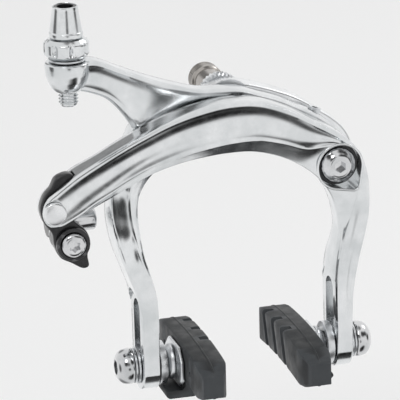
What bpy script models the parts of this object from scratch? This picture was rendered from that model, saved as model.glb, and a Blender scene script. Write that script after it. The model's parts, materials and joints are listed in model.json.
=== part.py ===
"""Dual-pivot side-pull rim brake caliper for a road bicycle, long reach.

Frame: the origin is on the mounting bolt's axis, in the rear face of the serrated washer, which
seats on the fork crown. +X is right as seen from in front of the bicycle, +Y is rearward into
the fork, and +Z is up. Metres.
"""
import math

import bmesh
import bpy
from mathutils import Matrix, Vector

MM = 0.001
GAP = 0.3 * MM                       # clearance between two pieces that touch

# ---- overall sizes -------------------------------------------------------------------------
REACH = 70.0 * MM                    # mounting bolt axis down to the pad studs
SIDE_PIVOT = Vector((26.7 * MM, 0.0, -17.0 * MM))
LEG_INNER = 25.3 * MM                # milled faces of the pad slots, from the centre plane
LEG_OUTER = 30.0 * MM
LEG_FRONT = -26.0 * MM
LEG_BACK = -13.0 * MM
STUD_Y = (LEG_FRONT + LEG_BACK) / 2

# ---- the layers, front to back -------------------------------------------------------------
FRONT_ARM_FRONT = -26.5 * MM
FRONT_ARM_THICKNESS = 8.4 * MM
REAR_ARM_THICKNESS = 6.5 * MM
THRUST_WASHER = 0.7 * MM
BRACKET_THICKNESS = 7.2 * MM
SEAT_WASHER = 2.5 * MM
FRONT_ARM_BACK = FRONT_ARM_FRONT + FRONT_ARM_THICKNESS
REAR_ARM_FRONT = FRONT_ARM_BACK + GAP
REAR_ARM_BACK = REAR_ARM_FRONT + REAR_ARM_THICKNESS
BRACKET_FRONT = REAR_ARM_BACK + THRUST_WASHER + 2 * GAP
BRACKET_BACK = BRACKET_FRONT + BRACKET_THICKNESS

# ---- pivots --------------------------------------------------------------------------------
BOLT_R = 3.0 * MM                    # M6 shanks
BOLT_HOLE_R = BOLT_R + GAP
BUSH_R = 3.8 * MM
BUSH_BORE_R = BUSH_R + GAP
CENTRE_HEAD_R = 4.1 * MM
CENTRE_HEAD_THICKNESS = 1.8 * MM
SIDE_HEAD_R = 5.0 * MM
SIDE_HEAD_THICKNESS = 3.6 * MM
SIDE_POCKET_R = 6.2 * MM
SIDE_POCKET_DEPTH = 4.4 * MM
SIDE_BOSS_R = 4.8 * MM
HEX_4_R = 2.3 * MM                   # corner radius of a 4 mm hexagon
HEX_5_R = 2.9 * MM
SEAT_WASHER_R = 5.9 * MM
SEAT_TEETH = 30
NUT_R = 4.0 * MM
NUT_FLANGE_R = 4.6 * MM
NUT_START = 3.0 * MM
NUT_END = 15.0 * MM

# ---- cable adjuster ------------------------------------------------------------------------
ADJUSTER_X = -45.6 * MM
ADJUSTER_Y = -14.2 * MM
BOSS_TOP = 16.9 * MM
BOSS_BOTTOM = 8.6 * MM
BOSS_TOP_R = 6.1 * MM
BOSS_BOTTOM_R = 3.9 * MM
STEM_R = 2.7 * MM
STEM_BOTTOM = 4.6 * MM
CABLE_BORE_R = 1.2 * MM
HOUSING_R = 2.6 * MM                 # socket for 5 mm cable housing
COLLAR_R = 6.2 * MM
COLLAR_HEIGHT = 5.2 * MM
COLLAR_NOTCHES = 8
BARREL_BOTTOM_R = 4.6 * MM
BARREL_TOP_R = 3.4 * MM
BARREL_TOP = 32.2 * MM

# ---- quick release and cable anchor --------------------------------------------------------
QR_PIN = Vector((-53.1 * MM, 0.0, -21.8 * MM))
QR_PIN_R = 3.1 * MM
QR_SHANK_R = 2.0 * MM
QR_PIN_END = -16.7 * MM
QR_SLOT_FRONT = -23.4 * MM
QR_PLATE = 3.4 * MM
ANCHOR = Vector((-48.0 * MM, 0.0, -31.6 * MM))
ANCHOR_BOSS_R = 4.7 * MM
ANCHOR_BOSS_FRONT = -24.6 * MM
ANCHOR_BOSS_BACK = -14.6 * MM
ANCHOR_HEAD_R = 3.4 * MM
ANCHOR_BOLT_R = 2.2 * MM
CLAMP_WASHER = 0.9 * MM
CLAMP_NUT = Vector((-44.3 * MM, 0.0, -29.4 * MM))
CLAMP_NUT_R = 3.2 * MM
CLAMP_NUT_LENGTH = 11.4 * MM

# ---- pads ----------------------------------------------------------------------------------
STUD_R = 3.0 * MM
SLOT_TRAVEL = 16.0 * MM              # height adjustment in the slots
PAD_LENGTH = 48.0 * MM
PAD_HEIGHT = 10.0 * MM
PAD_FACE = 10.2 * MM                 # braking face, from the centre plane
PAD_THICKNESS = 8.8 * MM
PAD_ARCH = 1.6 * MM                  # rise of the pad's middle, to follow the rim
PAD_GROOVE = 1.6 * MM
PAD_GROOVE_DEPTH = 2.2 * MM
PAD_FIN_DROP = 8.6 * MM              # from the stud's axis down to the fin's underside
PLATE_THICKNESS = 1.2 * MM
PLATE_LENGTH = 17.0 * MM
PLATE_HEIGHT = 11.0 * MM
INNER_DISC_R = 6.1 * MM              # washers between arm and pad
INNER_CONE_R = 5.0 * MM
INNER_DISC = 2.0 * MM
OUTER_DISC_R = 5.1 * MM
OUTER_DISC = 0.6 * MM
CAP_NUT_R = 5.0 * MM
CAP_NUT_HEIGHT = 4.3 * MM

# ---- return spring -------------------------------------------------------------------------
WIRE_R = 0.9 * MM
SPRING_POST = Vector((-13.0 * MM, 0.0, -3.0 * MM))
SPRING_COIL_R = 4.6 * MM
SPRING_POST_R = 2.6 * MM
SPRING_RIVET_R = 1.5 * MM
SPRING_ROOM_BACK = BRACKET_FRONT + 4.6 * MM
SPRING_TURNS = 1.25
REAR_SPRING_EYE = Vector((-21.5 * MM, 0.0, -9.0 * MM))
FRONT_SPRING_EYE = Vector((13.0 * MM, 0.0, -12.8 * MM))

# ---- centring screw ------------------------------------------------------------------------
CENTRING_TOP = Vector((23.4, 0.0, -3.0)) * MM
CENTRING_TIP = Vector((20.6, 0.0, -11.2)) * MM
CENTRING_R = 1.7 * MM
LUG_R = 2.3 * MM

ROUND = 24                           # sides of a turned piece


def start_scene():
    """Clears the scene and makes the collection of parts and the one of cutters."""
    for old in list(bpy.data.objects):
        bpy.data.objects.remove(old)
    made = []
    for name in ("rim_brake_caliper", "cutters"):
        collection = bpy.data.collections.new(name)
        bpy.context.scene.collection.children.link(collection)
        made.append(collection)
    return made


PARTS, CUTTERS = start_scene()


def material(name, colour, roughness, metallic):
    """A Principled material."""
    made = bpy.data.materials.new(name)
    made.use_nodes = True
    shader = made.node_tree.nodes["Principled BSDF"]
    shader.inputs["Base Color"].default_value = (*colour, 1.0)
    shader.inputs["Roughness"].default_value = roughness
    shader.inputs["Metallic"].default_value = metallic
    return made


POLISHED = material("polished_alloy", (0.82, 0.83, 0.85), 0.18, 1.0)
STEEL = material("plated_steel", (0.62, 0.62, 0.63), 0.28, 1.0)
BLACK = material("black_anodised", (0.02, 0.02, 0.022), 0.35, 0.6)
BRONZE = material("bush_bronze", (0.55, 0.40, 0.22), 0.4, 1.0)
SPRING_STEEL = material("spring_steel", (0.30, 0.30, 0.31), 0.35, 1.0)
RUBBER = material("pad_rubber", (0.045, 0.047, 0.05), 0.75, 0.0)


def add_object(name, mesh, finish=None):
    """Puts a mesh in the scene as a part, or as a cutter when it has no finish."""
    made = bpy.data.objects.new(name, mesh)
    if finish is None:
        made.display_type = "WIRE"
        made.hide_render = True
        CUTTERS.objects.link(made)
    else:
        PARTS.objects.link(made)
        mesh.materials.clear()
        mesh.materials.append(finish)
        mesh.shade_smooth()
        mesh.set_sharp_from_angle(angle=math.radians(35))
    return made


def mesh_from(bm, name):
    """A mesh with its faces pointing out."""
    bmesh.ops.recalc_face_normals(bm, faces=bm.faces)
    mesh = bpy.data.meshes.new(name)
    bm.to_mesh(mesh)
    bm.free()
    return mesh


def evaluated_mesh(source):
    """The mesh of a curve or of an object with modifiers, welded."""
    bpy.context.view_layer.update()
    graph = bpy.context.evaluated_depsgraph_get()
    mesh = bpy.data.meshes.new_from_object(source.evaluated_get(graph))
    bm = bmesh.new()
    bm.from_mesh(mesh)
    bmesh.ops.remove_doubles(bm, verts=bm.verts, dist=0.00001)
    bm.to_mesh(mesh)
    bm.free()
    return mesh


def axis_turn(axis):
    """The rotation that takes +Z to `axis`."""
    return Vector((0.0, 0.0, 1.0)).rotation_difference(Vector(axis)).to_matrix().to_4x4()


ALONG_Y = axis_turn((0.0, 1.0, 0.0))


def cylinder(radius, low, high, sides=ROUND, top_radius=None):
    """A cylinder or cone about local Z from `low` to `high`."""
    bm = bmesh.new()
    end_radius = radius if top_radius is None else top_radius
    bmesh.ops.create_cone(
        bm, cap_ends=True, segments=sides, radius1=radius, radius2=end_radius, depth=high - low
    )
    bmesh.ops.translate(bm, vec=(0.0, 0.0, (low + high) / 2), verts=bm.verts)
    return mesh_from(bm, "cylinder")


def cut(target, mesh, place):
    """Takes a shape out of `target`."""
    cutter = add_object(target.name + "_cutter", mesh)
    cutter.matrix_world = place
    boolean = target.modifiers.new("cut", "BOOLEAN")
    boolean.operation = "DIFFERENCE"
    boolean.object = cutter
    return cutter


def join(target, mesh, place):
    """Adds a shape to `target` as one solid."""
    cutter = cut(target, mesh, place)
    target.modifiers[-1].operation = "UNION"
    return cutter


def at_y(place):
    """A placement whose local Z runs along world +Y through `place`."""
    return Matrix.Translation(place) @ ALONG_Y


def hole_y(target, place, radius, low, high, sides=ROUND):
    """A round hole along Y through `place` from `low` to `high`."""
    return cut(target, cylinder(radius, low, high, sides), at_y(Vector((place.x, 0.0, place.z))))


def turned(name, profile, finish, place, sides=ROUND):
    """A ring or shaft turned from (radius, height) points about local Z, placed by `place`.

    The points run down the outer side from top to bottom, then back up the bore if there is one.
    """
    bm = bmesh.new()
    points = [bm.verts.new((radius, 0.0, height)) for radius, height in profile]
    solid = profile[0][0] > 0.0
    pairs = list(zip(points, points[1:]))
    if solid:
        pairs.append((points[-1], points[0]))
    for a, b in pairs:
        bm.edges.new((a, b))
    mesh = bpy.data.meshes.new(name)
    bm.to_mesh(mesh)
    bm.free()
    made = add_object(name, mesh, finish)
    made.matrix_world = place
    screw = made.modifiers.new("turn", "SCREW")
    screw.steps = sides
    screw.render_steps = sides
    screw.use_merge_vertices = True
    screw.merge_threshold = 0.00001
    return made


def ring(name, outer, inner, low, high, finish, place, sides=ROUND):
    """A flat ring, such as a washer or a bush."""
    return turned(name, [(inner, high), (outer, high), (outer, low), (inner, low)], finish, place, sides)


def smooth_path(points, steps):
    """Points on a Catmull-Rom curve through `points`, which are tuples of any length."""
    out = []
    for i in range(len(points) - 1):
        p0 = points[max(i - 1, 0)]
        p1 = points[i]
        p2 = points[i + 1]
        p3 = points[min(i + 2, len(points) - 1)]
        for k in range(steps):
            t = k / steps
            out.append(tuple(
                0.5 * (2 * b + (c - a) * t + (2 * a - 5 * b + 4 * c - d) * t * t
                       + (3 * b - a - 3 * c + d) * t * t * t)
                for a, b, c, d in zip(p0, p1, p2, p3)
            ))
    out.append(points[-1])
    return out


def closed_path(points, steps):
    """A closed smooth outline through `points`."""
    wrapped = [points[-1]] + points + points[:2]
    inner = smooth_path(wrapped, steps)
    return inner[steps:steps + steps * len(points)]


def plate(outline, low, high, finish, name, bevel=0.0):
    """A flat piece with an (x, z) outline between two y values."""
    data = bpy.data.curves.new(name, "CURVE")
    data.dimensions = "2D"
    data.fill_mode = "BOTH"
    data.extrude = (high - low) / 2
    spline = data.splines.new("POLY")
    spline.points.add(len(outline) - 1)
    for point, (x, z) in zip(spline.points, outline):
        point.co = (x, -z, 0.0, 1.0)
    spline.use_cyclic_u = True
    curve = bpy.data.objects.new(name, data)
    PARTS.objects.link(curve)
    mesh = evaluated_mesh(curve)
    bpy.data.objects.remove(curve)
    mesh.transform(Matrix.Rotation(math.radians(-90), 4, "X"))
    mesh.transform(Matrix.Translation((0.0, (low + high) / 2, 0.0)))
    if finish is None:
        return mesh
    made = add_object(name, mesh, finish)
    if bevel:
        rounding = made.modifiers.new("edges", "BEVEL")
        rounding.width = bevel
        rounding.segments = 2
        rounding.limit_method = "ANGLE"
        rounding.angle_limit = math.radians(50)
    return made


def arm_loft(stations, steps, edge):
    """A forged arm: a chamfered section carried along stations.

    A station is (outer x, outer z, inner x, inner z, front y, back y), all in millimetres.
    """
    bm = bmesh.new()
    rows = []
    for ox, oz, ix, iz, front, back in smooth_path(stations, steps):
        outer = Vector((ox, 0.0, oz)) * MM
        inner = Vector((ix, 0.0, iz)) * MM
        width = (outer - inner).length
        depth = (back - front) * MM
        chamfer = min(edge, width * 0.3, depth * 0.3)
        side = (outer - inner).normalized()
        y0 = Vector((0.0, front * MM, 0.0))
        y1 = Vector((0.0, back * MM, 0.0))
        dy = Vector((0.0, chamfer, 0.0))
        row = [
            outer - side * chamfer + y0, outer + y0 + dy, outer + y1 - dy,
            outer - side * chamfer + y1, inner + side * chamfer + y1, inner + y1 - dy,
            inner + y0 + dy, inner + side * chamfer + y0,
        ]
        rows.append([bm.verts.new(point) for point in row])
    for a, b in zip(rows, rows[1:]):
        for i in range(8):
            j = (i + 1) % 8
            bm.faces.new((a[i], a[j], b[j], b[i]))
    bm.faces.new(rows[0])
    bm.faces.new(rows[-1])
    bmesh.ops.triangulate(bm, faces=[f for f in bm.faces if len(f.verts) > 4])
    return mesh_from(bm, "arm")


def leg_tip(side):
    """Stations of the rounded lower end of an arm, top to bottom, on one side (+1 or -1)."""
    tip_r = (LEG_BACK - LEG_FRONT) / 2 / MM
    centre = STUD_Y / MM
    reach = REACH / MM
    rows = []
    for share in (0.0, 0.45, 0.75, 0.93, 0.995):
        half = tip_r * math.sqrt(1.0 - share * share)
        z = -(reach + 0.3 + tip_r * share)
        rows.append((side * 30.1, z, side * 25.2, z, centre - half, centre + half))
    return rows


def slot_outline(a, b, radius, sides=12):
    """The outline of a slot with round ends centred on the (x, z) points `a` and `b`."""
    turn = math.atan2(b[1] - a[1], b[0] - a[0])
    outline = []
    for (x, z), start in ((b, turn - math.pi / 2), (a, turn + math.pi / 2)):
        for k in range(sides + 1):
            angle = start + math.pi * k / sides
            outline.append((x + radius * math.cos(angle), z + radius * math.sin(angle)))
    return outline


def mill_slot(arm, side):
    """The pad slot of an arm, with its two milled faces."""
    slot_top = (0.0, -REACH + SLOT_TRAVEL)
    slot_bottom = (0.0, -REACH)
    below_tip = (0.0, -REACH - 2 * INNER_DISC_R)
    face_r = INNER_DISC_R + GAP
    for end, radius, low, high in (
        (slot_bottom, STUD_R + GAP, 0.5 * LEG_INNER, 1.5 * LEG_OUTER),
        (below_tip, face_r, LEG_OUTER, LEG_OUTER + 5 * MM),
        (below_tip, face_r, LEG_INNER - 5 * MM, LEG_INNER),
    ):
        mesh = plate(slot_outline(slot_top, end, radius), low, high, None, "slot")
        mesh.transform(Matrix.Rotation(math.radians(-90 * side), 4, "Z"))
        cut(arm, mesh, Matrix.Translation((0.0, STUD_Y, 0.0)))


def pocket_y(target, outline, low, high):
    """A flat-bottomed pocket along Y with an (x, z) outline."""
    return cut(target, plate(outline, low, high, None, "pocket"), Matrix.Identity(4))


def points_mm(pairs):
    """Points given in millimetres, in metres."""
    return [(x * MM, z * MM) for x, z in pairs]


def front_arm():
    """The arm that turns on the side pivot and carries the right pad and the cable anchor."""
    thick, thin = -16.5, FRONT_ARM_BACK / MM
    front = FRONT_ARM_FRONT / MM
    stations = [
        (-57.2, -20.8, -56.8, -23.2, -25.2, -17.8),
        (-56.1, -18.5, -55.0, -25.4, front + 0.2, thick - 0.3),
        (-53.8, -16.6, -51.6, -26.1, front, thick),
        (-51.0, -15.0, -47.0, -24.5, front, thick),
        (-45.9, -11.8, -41.2, -21.6, front, thick),
        (-40.3, -8.6, -35.6, -18.9, front, thin),
        (-34.7, -5.6, -30.3, -16.2, front, thin),
        (-29.1, -2.9, -24.6, -13.8, front, thin),
        (-20.7, 0.6, -17.0, -11.9, front, thin),
        (-12.3, 2.9, -9.5, -10.9, front, thin),
        (-4.0, 4.1, -3.0, -10.6, front, thin),
        (4.5, 3.5, 3.2, -11.0, front, thin),
        (12.9, 0.4, 9.8, -12.9, front, thin),
        (20.5, -3.8, 15.5, -15.8, front, thin),
        (26.5, -7.4, 19.8, -19.0, front, thin),
        (30.8, -11.2, 22.8, -22.6, front, thin),
        (33.7, -16.2, 24.7, -26.0, front, thin),
        (34.9, -21.6, 25.8, -29.4, front, thin),
        (35.2, -27.0, 26.5, -32.8, front, thin + 0.4),
        (34.8, -32.4, 26.9, -36.2, front + 0.1, thin + 1.3),
        (33.6, -38.4, 26.5, -40.4, front + 0.3, thin + 3.0),
        (32.1, -44.6, 25.7, -45.2, LEG_FRONT / MM, LEG_BACK / MM - 0.5),
        (30.8, -51.5, 25.1, -51.6, LEG_FRONT / MM, LEG_BACK / MM),
        (30.3, -58.0, 25.1, -58.0, LEG_FRONT / MM, LEG_BACK / MM),
        (30.1, -64.5, 25.2, -64.5, LEG_FRONT / MM, LEG_BACK / MM),
    ]
    arm = add_object("front_arm", arm_loft(stations + leg_tip(1), 2, 0.9 * MM), POLISHED)
    lug_back = REAR_ARM_BACK - GAP
    lug = CENTRING_TIP + (CENTRING_TIP - CENTRING_TOP).normalized() * (LUG_R + GAP)
    join(arm, cylinder(LUG_R, FRONT_ARM_BACK - MM, lug_back, 20), at_y(Vector((lug.x, 0.0, lug.z))))
    mill_slot(arm, 1)
    pocket_floor = FRONT_ARM_FRONT + SIDE_POCKET_DEPTH
    hole_y(arm, SIDE_PIVOT, SIDE_POCKET_R, FRONT_ARM_FRONT - 5 * MM, pocket_floor, 32)
    hole_y(arm, SIDE_PIVOT, BUSH_BORE_R, pocket_floor - MM, 0.0)
    eye = FRONT_SPRING_EYE
    eye_end = (eye.x - 0.6 * MM, eye.z - 1.8 * MM)
    pocket_y(arm, slot_outline((eye.x, eye.z), eye_end, WIRE_R + 2 * GAP), FRONT_ARM_BACK - 3 * MM, 0.0)
    slot = points_mm([(-62, -32), (-62, -6), (-45.6, -6), (-46.0, -16), (-43.5, -22), (-43.5, -32)])
    pocket_y(arm, slot, QR_SLOT_FRONT, QR_SLOT_FRONT + QR_PLATE + 2 * GAP)
    hole_y(arm, QR_PIN, QR_PIN_R + GAP, FRONT_ARM_FRONT - 2 * MM, FRONT_ARM_FRONT + 1.5 * MM)
    hole_y(arm, QR_PIN, QR_SHANK_R + GAP, FRONT_ARM_FRONT, 0.0, 24)


def rear_arm():
    """The arm that turns on the mounting bolt and carries the left pad and the cable adjuster."""
    front, back = REAR_ARM_FRONT / MM, REAR_ARM_BACK / MM
    branch = [
        (-45.5, 16.6, -46.5, 9.6, -17.6, -10.8),
        (-41.5, 16.9, -43.2, 8.9, front, back + 0.4),
        (-37.6, 16.6, -40.2, 8.0, front, back),
        (-32.0, 14.1, -35.8, 5.9, front, back),
        (-26.6, 11.7, -31.8, 1.6, front, back),
        (-21.1, 9.5, -27.0, -5.5, front, back),
        (-15.6, 7.6, -19.5, -10.3, front, back),
        (-10.1, 6.0, -11.0, -10.4, front, back),
        (-4.5, 5.6, -4.0, -9.9, front, back),
        (1.2, 5.2, 1.0, -9.6, front, back),
        (6.8, 3.2, 5.2, -9.3, front, back),
        (12.5, 1.2, 10.0, -8.4, front, back),
        (18.1, -1.5, 15.8, -8.9, front, back),
        (22.6, -3.8, 20.6, -9.6, front, back),
        (27.0, -7.2, 25.6, -10.6, front, back),
        (30.4, -10.6, 29.7, -11.8, front + 0.6, back - 0.6),
    ]
    leg = [
        (-20.0, 4.0, -10.0, -6.0, front + 0.3, back - 0.3),
        (-27.4, -1.0, -14.5, -11.0, front, back),
        (-30.6, -6.4, -20.0, -14.9, front, back),
        (-33.4, -13.0, -24.1, -18.6, front, back),
        (-35.5, -19.0, -26.7, -22.8, front, back - 0.1),
        (-36.4, -24.6, -28.1, -27.2, front - 2.6, back - 0.3),
        (-36.3, -30.4, -28.6, -32.0, front - 6.3, back - 0.8),
        (-35.1, -36.8, -28.2, -37.6, LEG_FRONT / MM + 0.2, back - 1.4),
        (-32.9, -43.2, -26.7, -43.3, LEG_FRONT / MM, LEG_BACK / MM - 0.2),
        (-30.9, -49.4, -25.4, -49.4, LEG_FRONT / MM, LEG_BACK / MM),
        (-30.2, -56.0, -25.1, -56.0, LEG_FRONT / MM, LEG_BACK / MM),
        (-30.1, -63.0, -25.2, -63.0, LEG_FRONT / MM, LEG_BACK / MM),
    ]
    arm = add_object("rear_arm", arm_loft(leg + leg_tip(-1), 2, 0.9 * MM), POLISHED)
    join(arm, arm_loft(branch, 2, 0.8 * MM), Matrix.Identity(4))
    boss_at = Matrix.Translation((ADJUSTER_X, ADJUSTER_Y, 0.0))
    boss = cylinder(BOSS_BOTTOM_R, BOSS_BOTTOM, BOSS_TOP, 32, BOSS_TOP_R)
    join(arm, boss, boss_at)
    cut(arm, cylinder(STEM_R + GAP, 0.0, BARREL_TOP), boss_at)
    mill_slot(arm, -1)
    origin = Vector((0.0, 0.0, 0.0))
    head_floor = REAR_ARM_FRONT + CENTRE_HEAD_THICKNESS + 3 * GAP + 0.5 * MM
    hole_y(arm, origin, CENTRE_HEAD_R + GAP, REAR_ARM_FRONT - 2 * MM, head_floor)
    hole_y(arm, origin, BUSH_BORE_R, head_floor - MM, 0.0)
    eye = REAR_SPRING_EYE
    eye_end = (eye.x - 0.8 * MM, eye.z + 2.2 * MM)
    pocket_y(arm, slot_outline((eye.x, eye.z), eye_end, WIRE_R + 2 * GAP), REAR_ARM_BACK - 2.6 * MM, 0.0)
    cut(arm, cylinder(CENTRING_R + GAP, -15 * MM, 15 * MM, 20), centring_place())


def centring_place():
    """The centring screw's placement: local Z runs up out of the screw's head."""
    axis = (CENTRING_TOP - CENTRING_TIP).normalized()
    middle = (CENTRING_TOP + CENTRING_TIP) / 2
    return Matrix.Translation((middle.x, (REAR_ARM_FRONT + REAR_ARM_BACK) / 2, middle.z)) @ axis_turn(axis)


def centring_screw():
    """The small set screw that ties the two arms' motion together."""
    half = (CENTRING_TOP - CENTRING_TIP).length / 2
    screw = add_object("centring_screw", cylinder(CENTRING_R, -half, half, 20), STEEL)
    screw.matrix_world = centring_place()
    cut(screw, cylinder(1.0 * MM, half - 2 * MM, half + MM, 6), centring_place())


def pivot_bracket():
    """The fixed bracket on the mounting bolt that carries the side pivot and the spring post."""
    side = SIDE_PIVOT / MM
    outline = points_mm([
        (-17.0, -6.8), (-17.6, -2.6), (-14.6, 0.8), (-10.0, 1.4), (-6.2, 3.0), (-1.0, 4.7), (4.0, 4.5),
        (8.6, 3.3), (13.8, 1.5), (19.5, -1.0), (25.2, -4.6), (31.0, -8.9), (34.2, -12.9),
        (side.x + 8.8, side.z - 0.5), (side.x + 7.0, side.z - 5.4), (side.x + 2.2, side.z - 8.4),
        (side.x - 2.4, side.z - 6.9), (21.2, -18.8), (16.6, -13.6), (12.4, -8.8), (6.6, -7.4),
        (0.0, -7.6), (-6.0, -6.6), (-9.4, -7.0), (-13.2, -8.4),
    ])
    bracket = plate(closed_path(outline, 2), BRACKET_FRONT, BRACKET_BACK, POLISHED, "pivot_bracket")
    boss_front = FRONT_ARM_BACK + 2 * GAP + THRUST_WASHER
    boss = cylinder(SIDE_BOSS_R, boss_front, BRACKET_FRONT + MM)
    join(bracket, boss, at_y(Vector((SIDE_PIVOT.x, 0.0, SIDE_PIVOT.z))))
    centre = Vector((0.0, 0.0, 0.0))
    hole_y(bracket, centre, BOLT_HOLE_R, BRACKET_FRONT - MM, 0.0)
    hole_y(bracket, SIDE_PIVOT, BOLT_HOLE_R, boss_front - MM, BRACKET_BACK - 1.5 * MM)
    coil_room_r = SPRING_COIL_R + WIRE_R + 2 * GAP
    hole_y(bracket, SPRING_POST, coil_room_r, BRACKET_FRONT - MM, SPRING_ROOM_BACK, 36)
    hole_y(bracket, SPRING_POST, SPRING_RIVET_R + GAP, SPRING_ROOM_BACK - MM, 0.0, 20)


def mounting_pieces():
    """What sits on the mounting bolt's axis."""
    place = at_y(Vector((0.0, 0.0, 0.0)))
    head_front = REAR_ARM_FRONT + GAP
    head_back = head_front + CENTRE_HEAD_THICKNESS
    bolt = turned("mounting_bolt", [
        (0.0, NUT_END - 3 * MM), (BOLT_R - 0.5 * MM, NUT_END - 3 * MM),
        (BOLT_R, NUT_END - 3.5 * MM), (BOLT_R, head_back), (CENTRE_HEAD_R - 0.3 * MM, head_back),
        (CENTRE_HEAD_R, head_back - 0.3 * MM), (CENTRE_HEAD_R, head_front + 0.2 * MM),
        (CENTRE_HEAD_R - 0.2 * MM, head_front), (0.0, head_front),
    ], STEEL, place)
    cut(bolt, cylinder(HEX_4_R, head_front - MM, head_front + 1.4 * MM, 6), place)
    washer_front = head_back + GAP
    ring("front_thrust_washer", CENTRE_HEAD_R, BOLT_HOLE_R, washer_front, washer_front + 0.5 * MM,
         STEEL, place)
    ring("rear_arm_bush", BUSH_R, BOLT_HOLE_R, washer_front + 0.5 * MM + GAP, REAR_ARM_BACK - 0.1 * MM,
         BRONZE, place)
    ring("rear_thrust_washer", 6.3 * MM, BOLT_HOLE_R, REAR_ARM_BACK + GAP, BRACKET_FRONT - GAP,
         STEEL, place)
    seat = []
    for k in range(2 * SEAT_TEETH):
        angle = math.pi * k / SEAT_TEETH
        radius = SEAT_WASHER_R - (0.35 * MM if k % 2 else 0.0)
        seat.append((radius * math.cos(angle), radius * math.sin(angle)))
    washer = plate(seat, BRACKET_BACK + GAP, BRACKET_BACK + GAP + SEAT_WASHER, STEEL, "serrated_washer")
    hole_y(washer, Vector((0.0, 0.0, 0.0)), BOLT_HOLE_R, BRACKET_BACK - MM, 5 * MM)
    grooves = [(NUT_FLANGE_R, NUT_END - 0.3 * MM)]
    for k in range(2):
        top = NUT_END - (0.9 + 1.1 * k) * MM
        grooves += [(NUT_FLANGE_R, top), (NUT_FLANGE_R - 0.35 * MM, top - 0.2 * MM),
                    (NUT_FLANGE_R - 0.35 * MM, top - 0.5 * MM), (NUT_FLANGE_R, top - 0.7 * MM)]
    barrel_top = NUT_END - 4.6 * MM
    turned("recessed_nut", [
        (HEX_5_R, NUT_END), (NUT_FLANGE_R - 0.3 * MM, NUT_END), *grooves,
        (NUT_FLANGE_R, barrel_top), (NUT_R, barrel_top - 0.5 * MM), (NUT_R, NUT_START + 0.3 * MM),
        (NUT_R - 0.3 * MM, NUT_START), (BOLT_HOLE_R, NUT_START), (BOLT_HOLE_R, NUT_END - 2.4 * MM),
        (HEX_5_R, NUT_END - 2.4 * MM),
    ], STEEL, place)


def side_pivot_pieces():
    """What sits on the side pivot's axis."""
    place = at_y(SIDE_PIVOT)
    floor = FRONT_ARM_FRONT + SIDE_POCKET_DEPTH
    washer_front = floor - GAP - THRUST_WASHER
    head_back = washer_front - GAP
    head_front = head_back - SIDE_HEAD_THICKNESS
    tip = BRACKET_BACK - 1.5 * MM - GAP
    bolt = turned("side_pivot_bolt", [
        (0.0, tip), (BOLT_R - 0.4 * MM, tip), (BOLT_R, tip - 0.4 * MM), (BOLT_R, head_back),
        (SIDE_HEAD_R, head_back), (SIDE_HEAD_R, head_front + 1.9 * MM),
        (SIDE_HEAD_R - 0.4 * MM, head_front + 1.3 * MM), (2.95 * MM, head_front + 0.1 * MM),
        (2.8 * MM, head_front), (0.0, head_front),
    ], STEEL, place, 28)
    cut(bolt, cylinder(HEX_4_R * 0.8, head_front - MM, head_front + 2.2 * MM, 6), place)
    ring("side_pivot_washer", SIDE_HEAD_R + 0.6 * MM, BOLT_HOLE_R, washer_front, floor - GAP, STEEL, place)
    ring("front_arm_bush", BUSH_R, BOLT_HOLE_R, floor + 0.1 * MM, FRONT_ARM_BACK - 0.1 * MM, BRONZE, place)
    ring("side_thrust_washer", SIDE_BOSS_R, BOLT_HOLE_R, FRONT_ARM_BACK + GAP,
         FRONT_ARM_BACK + GAP + THRUST_WASHER, STEEL, place)


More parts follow.
